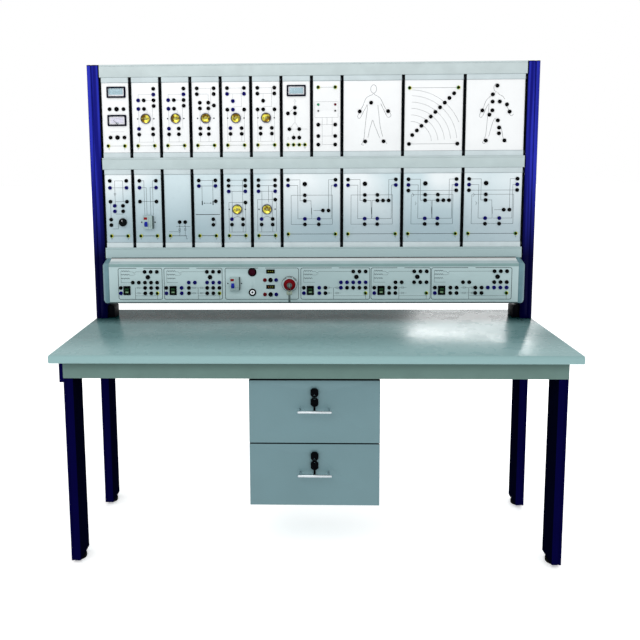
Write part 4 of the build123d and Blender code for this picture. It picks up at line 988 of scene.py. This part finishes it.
EDGES = {
    "worktop": 1.5, "aprons": 0.8, "side_rails": 1.2, "legs": 0.5, "left_front_foot": 1, "left_rear_foot": 1,
    "right_front_foot": 1, "right_rear_foot": 1, "uprights": 0.6, "upright_caps": 0.8, "rack_brackets": 1,
    "header_rail": 0.6, "middle_rail": 0.6, "lower_rail": 0.6, "module_boxes": 0.5, "module_grips": 0.8,
    "upper_panels": 0.4, "lower_panels": 0.4, "console_housing": 0.6, "console_end_caps": 3,
    "console_panel": 0.6, "cabinet_carcass": 0.5, "upper_drawer_front": 1, "lower_drawer_front": 1,
    "upper_drawer_box": 0.4, "lower_drawer_box": 0.4, "drawer_runners": 0.3, "mains_inlet": 0.8,
    "module_breaker_toggle": 0.6, "console_breaker_toggle": 0.6, "upper_lock_key": 1,
    "lower_lock_key": 1, "upper_spare_key": 0.4, "lower_spare_key": 0.4,
}
for node, width in EDGES.items():
    softened(node, width)

# The meter's needle is shown as it is
finish(frame["nodes"]["meter_needle"].data, SLOT_OF["meter_needle"])


# Printed lines. A print is written as strokes of column,row on a module's hole grid, parted by
# slashes, and a figure as strokes in mm across from the module's middle and down from its top.


COLLECTED = " / -2,16 -2,18.7 / 2,16 2,18.7 / -3,18.7 3,18.7"
SUPPLY_LEADS = ("3,2 -2.5,2 -2.5,4 / -0.5,4 3,4 / -2.5,7 -2.5,14 / 3,6.3 2.5,6.3 2.5,14 / "
                "-0.5,7 0.6,7.6 0.6,8.6 / -2.5,16 -2.5,18.7 / -3,18.7 3,18.7 / ")
THROUGH_LINES = ("-3,0 3,0 / -3,2 3,2 / -1,2 -1,4.5 / 2,0 2,6.5 -1,6.5 / -3,8 -3,18.7 / "
                 "3,8 3,18.7" + COLLECTED)
CORE_LINES = ("-8.5,0 -4.2,0 -4.2,7.5 -2.5,7.5 / -8.5,2 -5,2 -5,14 -2.5,14 / "
              "-7.4,5.5 7.4,5.5 7.4,16 -7.4,16 -7.4,5.5 / 8.5,2 7,2 7,14 2,14 / "
              "-2.5,7.5 -0.3,7.5 0,14 -2.5,14 / ")
MIDDLE_TAP = "2,7.5 0.1,7.5 0.1,14 2,14 / 6,7.5 6,0 8.5,0 / 2,7.5 6,7.5"
SIDE_TAP = "0.6,11 4,11 / 6,11 6,0 8.5,0 / 0.3,14 2.5,14"
LONG_LINE = " / -8.5,4 8.5,4 / -7,5 -6.4,5.6 -7,6.2 / -6,8 -5.6,8.6 -6,9.2"
UPPER_PRINTS = [
    "-2.1,9 2.9,9 / -2.1,15 2.9,15",
    SUPPLY_LEADS + "2.5,16 2.5,18.7",
    SUPPLY_LEADS + "1,16 1,18.7",
    "-3,0 1.9,0 1.9,6 3,6 / -3,2 0.9,2 / 1,2 1,5 / -2,8 -2,14 / 1,8 1,14 / -2,16 -2,18.7 / "
    "1,16 1,18.7 / -3,18.7 3,18.7",
    THROUGH_LINES,
    THROUGH_LINES,
    "-0.9,4.7 -0.5,4.2 -0.1,4.7 -0.5,5.2 -0.9,4.7 / -0.5,5.2 -0.5,12 -2.5,14.5 / -0.5,12 1,14.5 / "
    "-3,9 -0.8,7.2 / -2.5,14.5 4,14.5 / -1,15.8 -1,17.5 / 1,15.8 1,17.5 / -3.4,18 -3,17.2 -2.6,18 -3.4,18",
    "-4.2,5 4,5 4,10.5 -4.2,10.5 -4.2,5 / -1.6,10.5 -1.6,20 3,20 / 0.1,10.5 0.1,13 / "
    "1.9,10.5 1.9,17 -1.6,17 / -3,13 3,13",
]
LOWER_PRINTS = [
    "-1.3,0 1.6,0 1.6,7.5 / -1.3,0 -1.3,9 / -3,2.5 3,2.5 / -1.3,7.5 3,7.5 / -1.3,12 1.5,12 / -3,7.5 -3,14 / "
    "-2.6,17.4 -0.4,17.4 -0.4,15 / -1.7,4.6 -0.9,4.6 -1.3,5.4 -1.7,4.6",
    "-3,0 -1.4,0 -1.4,12.3 / -3,2.5 -0.6,2.5 -0.6,12.3 / 3,2.5 0.8,2.5 0.8,12.3 / "
    "3,0 1.7,0 1.7,12.3 / -3,7.5 3,7.5",
    "0.5,15 0.4,20 / 2.5,15 2.4,20 2.8,20 2.8,21 / -0.8,16.6 4.3,16.6 / 0.2,16.2 0.6,17 / 2.2,16.2 2.6,17 / "
    "0.1,17.4 0.7,17.4 0.7,18 0.1,18 0.1,17.4 / 2.1,17.4 2.7,17.4 2.7,18 2.1,18 2.1,17.4 / "
    "-3.5,18.5 0.1,18.5",
    "-3,0 3,0 / -3,2 3,2 / -1.9,2 -1.9,7.4 / 2,0 2,7.4 / -1,8.2 1,8.2 / 2,14 2.9,14.3 2.9,15.7 2,16",
    "-3,0 3,0 / -3,2 3,2 / -3,4 3,4 / -1.8,4 -1.8,14 / 2,0 2,14 / 3,8 -3,8 -3,18.7 / 3,8 3,18.7 / "
    "-1.6,13.6 0,13 1.6,13.6" + COLLECTED,
    "-3,0 3,0 / -3,2 3,2 / -3,4 3,4 / -1.8,4 -1.8,14 / 0.6,2 0.6,8 / 1.9,4 1.9,14 / 3,7 -3.4,7 -3.4,18.7 / "
    "3.4,8 3.4,18.7 / -1.6,13.6 0,13 1.6,13.6" + COLLECTED,
    CORE_LINES + SIDE_TAP,
    CORE_LINES + MIDDLE_TAP,
    CORE_LINES + MIDDLE_TAP + LONG_LINE,
    CORE_LINES + SIDE_TAP + LONG_LINE,
]
ARROW_TIP = "0,18.1 0.7,18.5 0,18.9"
DIVIDING_LINE = "-4.4,12.3 4.4,12.3"
BARS = "-1.9,7.4 -1.9,8.9 / 2,7.4 2,8.9"
BAR_CORES = "-1.14,8 -1.14,8.35 / 1.2,8 1.2,8.35"
HEAD = "4,37 12,42 15.5,53 12,64 4,69 -4,64 -7.5,53 -4,42"
STANDING_FIGURE = (
    "3,68 -1,75 -14,80 -25,88 -31,101 -37,117 -45,132 -52,146 -57,156 -54,164 -47,163 -41,152 -33,136 "
    "-25,122 -21,112 / -20,114 -20,133 -23,152 -26,180 -29,210 -32,241 -37,257 -42,265 -33,268 / -17,240 "
    "-11,210 -5,190 1,172 8,190 17,212 29,240 / 41,236 33,208 28,180 25,150 22,130 21,114 / 5,68 9,75 "
    "20,81 31,90 39,106 47,122 56,134 66,144 72,152 66,161 57,159 48,142 38,122 32,109 / 44,252 53,258 "
    "57,264"
)
WALKING_FIGURE = (
    "4,69 -4,64 -7.5,53 -4,42 4,37 12,42 / 0,70 -10,80 -26,90 -36,102 -42,118 -50,136 -58,150 -60,160 "
    "-54,165 -47,158 -40,142 -32,124 -25,112 / -24,116 -26,140 -29,170 -31,200 -34,232 -40,250 -45,262 "
    "-36,266 / -22,238 -15,208 -8,184 0,168 6,178 / 24,200 30,226 33,242 40,254 48,260 / 8,70 14,78 28,86 "
    "36,96 / 40,116 48,130 54,142 56,154 63,160 71,152"
)
UPPER_LINE, FIGURE_LINE, LOWER_LINE = 0.6, 1.1, 1.2

# How many modules, from the left, have earth sockets above and are one unit wide below
EARTHED_UPPER, SINGLE_LOWER = 7, 6

# The rings' centre is in mm across from the module's middle and up from its top
WAVE_CENTRE = (-90, -262)
WAVE_RADII = (84, 109, 134, 158, 182, 204)
WAVE_REACH = 100

# An earth sign: how far below its line each stroke lies, and half its length, in rows and columns
EARTH_SIGN = ((0.9, 0.3), (1.15, 0.2), (1.4, 0.1))


def strokes(text):
    """The strokes of a print, each as a list of points."""
    return [[tuple(map(float, word.split(","))) for word in words.split()]
            for words in text.split("/") if words.strip()]


class Face:
    """The printed face of one module."""

    def __init__(self, shape, box, panel):
        self.shape = shape
        self.middle, self.top, self.front = panel.centre.x, box.high.z, panel.low.y
        self.window = panel.window

    def at(self, column, row):
        return self.middle + column * HOLE_GRID, self.top - FIRST_HOLE_DEPTH - row * HOLE_GRID

    def line(self, path, width, slot=0, closed=False):
        self.shape.line(path, width, self.front, slot, closed)

    def drawn(self, text, width, slot=0):
        """A print on the hole grid."""
        for stroke in strokes(text):
            self.line([self.at(*point) for point in stroke], width, slot)

    def curved(self, stroke, closed=False):
        """A smooth stroke of a figure."""
        points = [(self.middle + across, self.top - down) for across, down in flowing(stroke, 5, closed)]
        self.line(points, FIGURE_LINE, 0, closed)

    def earth_signs(self, reach, row, width, slot):
        """The line between the module's two earth sockets and the small sign below each."""
        self.line([self.at(-reach, row), self.at(reach, row)], width, slot)
        for side in (-reach, reach):
            for step, half in EARTH_SIGN:
                self.line([self.at(side - half, row + step), self.at(side + half, row + step)], 0.8, slot)

    def joints(self):
        """Thin grey joints where the panel meets its two grips."""
        (x0, z0), (x1, z1) = self.window
        for z in (z0 + 0.8, z1 - 0.8):
            self.line([(x0, z), (x1, z)], 1, 2)

    def waves(self):
        """Rings that spread from the left foot of the panel, between an earth line and a ground line."""
        for radius in WAVE_RADII:
            ring = [(x, z) for x, z in arc(WAVE_CENTRE, radius, 88, 6, 24) if x < WAVE_REACH]
            self.line([(self.middle + x, self.top + z) for x, z in ring], 0.8)
        self.drawn("-8,0.5 8,0.5 / -8,20 8,20", 1)


def faces_of(shape, panels, first):
    boxes = loose_parts("module_boxes")[first:]
    return [Face(shape, box, panel) for box, panel in zip(boxes, loose_parts(panels))]


def upper_prints():
    shape = Shape()
    faces = faces_of(shape, "upper_panels", 0)
    for number, (face, text) in enumerate(zip(faces, UPPER_PRINTS)):
        face.drawn(text, UPPER_LINE)
        if number < EARTHED_UPPER:
            face.earth_signs(3 if number else 2.8, 20, 0.9, 0)
    for face in faces:
        face.joints()
    faces[7].drawn("-3,0 3,0", 0.9)
    for number, figure in ((8, STANDING_FIGURE), (10, WALKING_FIGURE)):
        for stroke in strokes(figure):
            faces[number].curved(stroke)
    faces[8].curved(strokes(HEAD)[0], True)
    faces[9].waves()
    shape.build("upper_row_prints", "bench", "ink_grey ink_dark joint_grey")


def lower_prints():
    shape = Shape()
    faces = faces_of(shape, "lower_panels", LOWER_ROW)
    for number, (face, text) in enumerate(zip(faces, LOWER_PRINTS)):
        face.drawn(text, LOWER_LINE)
        if number < SINGLE_LOWER:
            face.earth_signs(3, 20, 1.8, 1)
        else:
            face.earth_signs(8.5, 19.5, 1.6, 1)
            face.drawn("-0.1,10 0,12.4", 1.8)
    for face in faces:
        face.joints()
    faces[2].drawn(ARROW_TIP, 1.4, 1)
    faces[3].drawn(DIVIDING_LINE, 2.6)
    faces[3].drawn(BARS, 4, 1)
    faces[3].drawn(BAR_CORES, 3.6, 1)
    shape.build("lower_row_prints", "bench", "ink_grey ink_dark joint_grey")


upper_prints()
lower_prints()


# Console prints, in mm across and rows of its sockets down


# Each field's edges, its first socket in the top row, its fuses' left ends, and its earth socket
FIELDS = [
    (-766, -592, -660, (-700,), -612),
    (-584, -354, -414, (-480, -450), -365),
    (-342, -53, None, (), None),
    (-44, 226, 161, (50, 84), 210),
    (231, 462, 399, (340,), 447),
    (466, 777, 710, (580, 612), 758),
]
FIELD_BOTTOM, FIELD_TOP = 838, 963
TITLE_HALF = 14
COIL_ROWS = (0, 0.65, 1.36)
COIL_START, COIL_LENGTH, COIL_HEIGHT = 11, 34, 4.4
COIL_BUMPS, BUMP_STEPS = 5, 6


def level(row):
    return CONSOLE_FIRST_LEVEL - row * CONSOLE_ROW


def coil(start, row):
    """A winding drawn as a row of bumps."""
    points = []
    for step in range(COIL_BUMPS * BUMP_STEPS + 1):
        share = step / (COIL_BUMPS * BUMP_STEPS)
        rise = COIL_HEIGHT * abs(math.sin(share * COIL_BUMPS * math.pi))
        points.append((start + share * COIL_LENGTH, level(row) + rise))
    return points


def field_frame(shape, left, right, face):
    """A rounded frame whose top line stops either side of a bare place for its title."""
    outline = rounded((left, FIELD_BOTTOM), (right, FIELD_TOP), 7)
    middle = (left + right) / 2
    start = next(index for index, (x, z) in enumerate(outline) if z > FIELD_TOP - 0.01 and x < middle)
    ends = [(middle + side * TITLE_HALF, FIELD_TOP) for side in (-1, 1)]
    shape.line(ends[:1] + outline[start:] + outline[:start] + ends[1:], 1.9, face, 1)


def field_lines(shape, stem, first, fuses, earth, face):
    """Windings on a stem, the lines to the sockets, and the fuses with their feeders."""
    shape.line([(stem, level(0)), (stem, level(2)), (stem + 44, level(2))], 0.9, face)
    for row in COIL_ROWS:
        shape.line(coil(stem, row), 1.5, face)
    end = stem + COIL_LENGTH
    shape.line([(end, level(0)), (end + 12, level(0)), (end + 18, level(0.3)), (end + 26, level(0)),
                (first, level(0))], 0.9, face)
    shape.line([(end, level(0.65)), (end + 16, level(0.65)), (end + 24, level(0.4))], 0.8, face)
    for row in (3, 4):
        low, high = level(row + 0.14), level(row - 0.14)
        for x in fuses:
            shape.line([(x, level(row)), (x + 30, level(row))], 0.8, face)
            shape.line([(x + 9, high), (x + 19, high), (x + 19, low), (x + 9, low)], 0.8, face, 0, True)
    trunk = fuses[-1]
    shape.line([(trunk, level(3)), (trunk, FIELD_BOTTOM)], 1.3, face, 1)
    shape.line([(trunk, level(4.5)), (earth, level(4.5))], 0.9, face)
    shape.line([(earth, level(4.2)), (earth, FIELD_BOTTOM)], 1, face, 1)


def console_prints():
    shape = Shape()
    face = loose_parts("console_panel")[0].low.y
    for left, right, first, fuses, earth in FIELDS:
        field_frame(shape, left, right, face)
        if fuses:
            field_lines(shape, left + COIL_START, first, fuses, earth, face)
    shape.build("console_prints", "bench", "ink_grey ink_dark")


console_prints()


# Floor, light and camera


FLOOR_REACH = 30
SENSOR_WIDTH = 36


def studio():
    """A pale floor and a white surround."""
    world = bpy.data.worlds.new("white_surround")
    world.use_nodes = True
    world.node_tree.nodes["Background"].inputs["Color"].default_value = (1, 1, 1, 1)
    world.node_tree.nodes["Background"].inputs["Strength"].default_value = 1.0
    bpy.context.scene.world = world
    bpy.context.scene.view_settings.view_transform = "Standard"
    mesh = bpy.data.meshes.new("floor")
    corners = [(x * FLOOR_REACH, y * FLOOR_REACH, 0) for x, y in ((-1, -1), (1, -1), (1, 1), (-1, 1))]
    mesh.from_pydata(corners, [], [(0, 1, 2, 3)])
    look = Look("floor_pale", (254, 254, 254), 0.8, specular=0.05).glowing((255, 255, 255), 0.3)
    mesh.materials.append(look.mottled(500, 0.004).worn(200, 0.03).done())
    piece = bpy.data.objects.new("floor", mesh)
    bpy.context.scene.collection.objects.link(piece)


def softbox(name, place, target, size, power):
    """A rectangular lamp that looks at a target."""
    light = bpy.data.lights.new(name, "AREA")
    light.shape = "RECTANGLE"
    light.size, light.size_y = size
    light.energy = power
    lamp = bpy.data.objects.new(name, light)
    lamp.location = place
    lamp.rotation_euler = (Vector(target) - Vector(place)).to_track_quat("-Z", "Y").to_euler()
    bpy.context.scene.collection.objects.link(lamp)


def camera():
    """The photograph's viewpoint, with its frame shifted off the view's middle."""
    data = bpy.data.cameras.new("camera")
    data.sensor_width = SENSOR_WIDTH
    data.lens = CAMERA_LENS
    data.shift_x, data.shift_y = CAMERA_SHIFT
    place = Matrix.Translation(CAMERA_PLACE)
    for angle, axis in ((-CAMERA_YAW, "Z"), (90 - CAMERA_PITCH, "X"), (-CAMERA_ROLL, "Z")):
        place = place @ Matrix.Rotation(math.radians(angle), 4, axis)
    view = bpy.data.objects.new("camera", data)
    view.matrix_world = place
    bpy.context.scene.collection.objects.link(view)
    bpy.context.scene.camera = view


studio()
softbox("key_light", (-1.0, -2.4, 3.0), (0, 0, 1.2), (2.0, 1.2), 25)
softbox("window_light", (1.2, 2.0, 1.2), (0.7, 0.15, 0.76), (0.9, 0.34), 21)
camera()
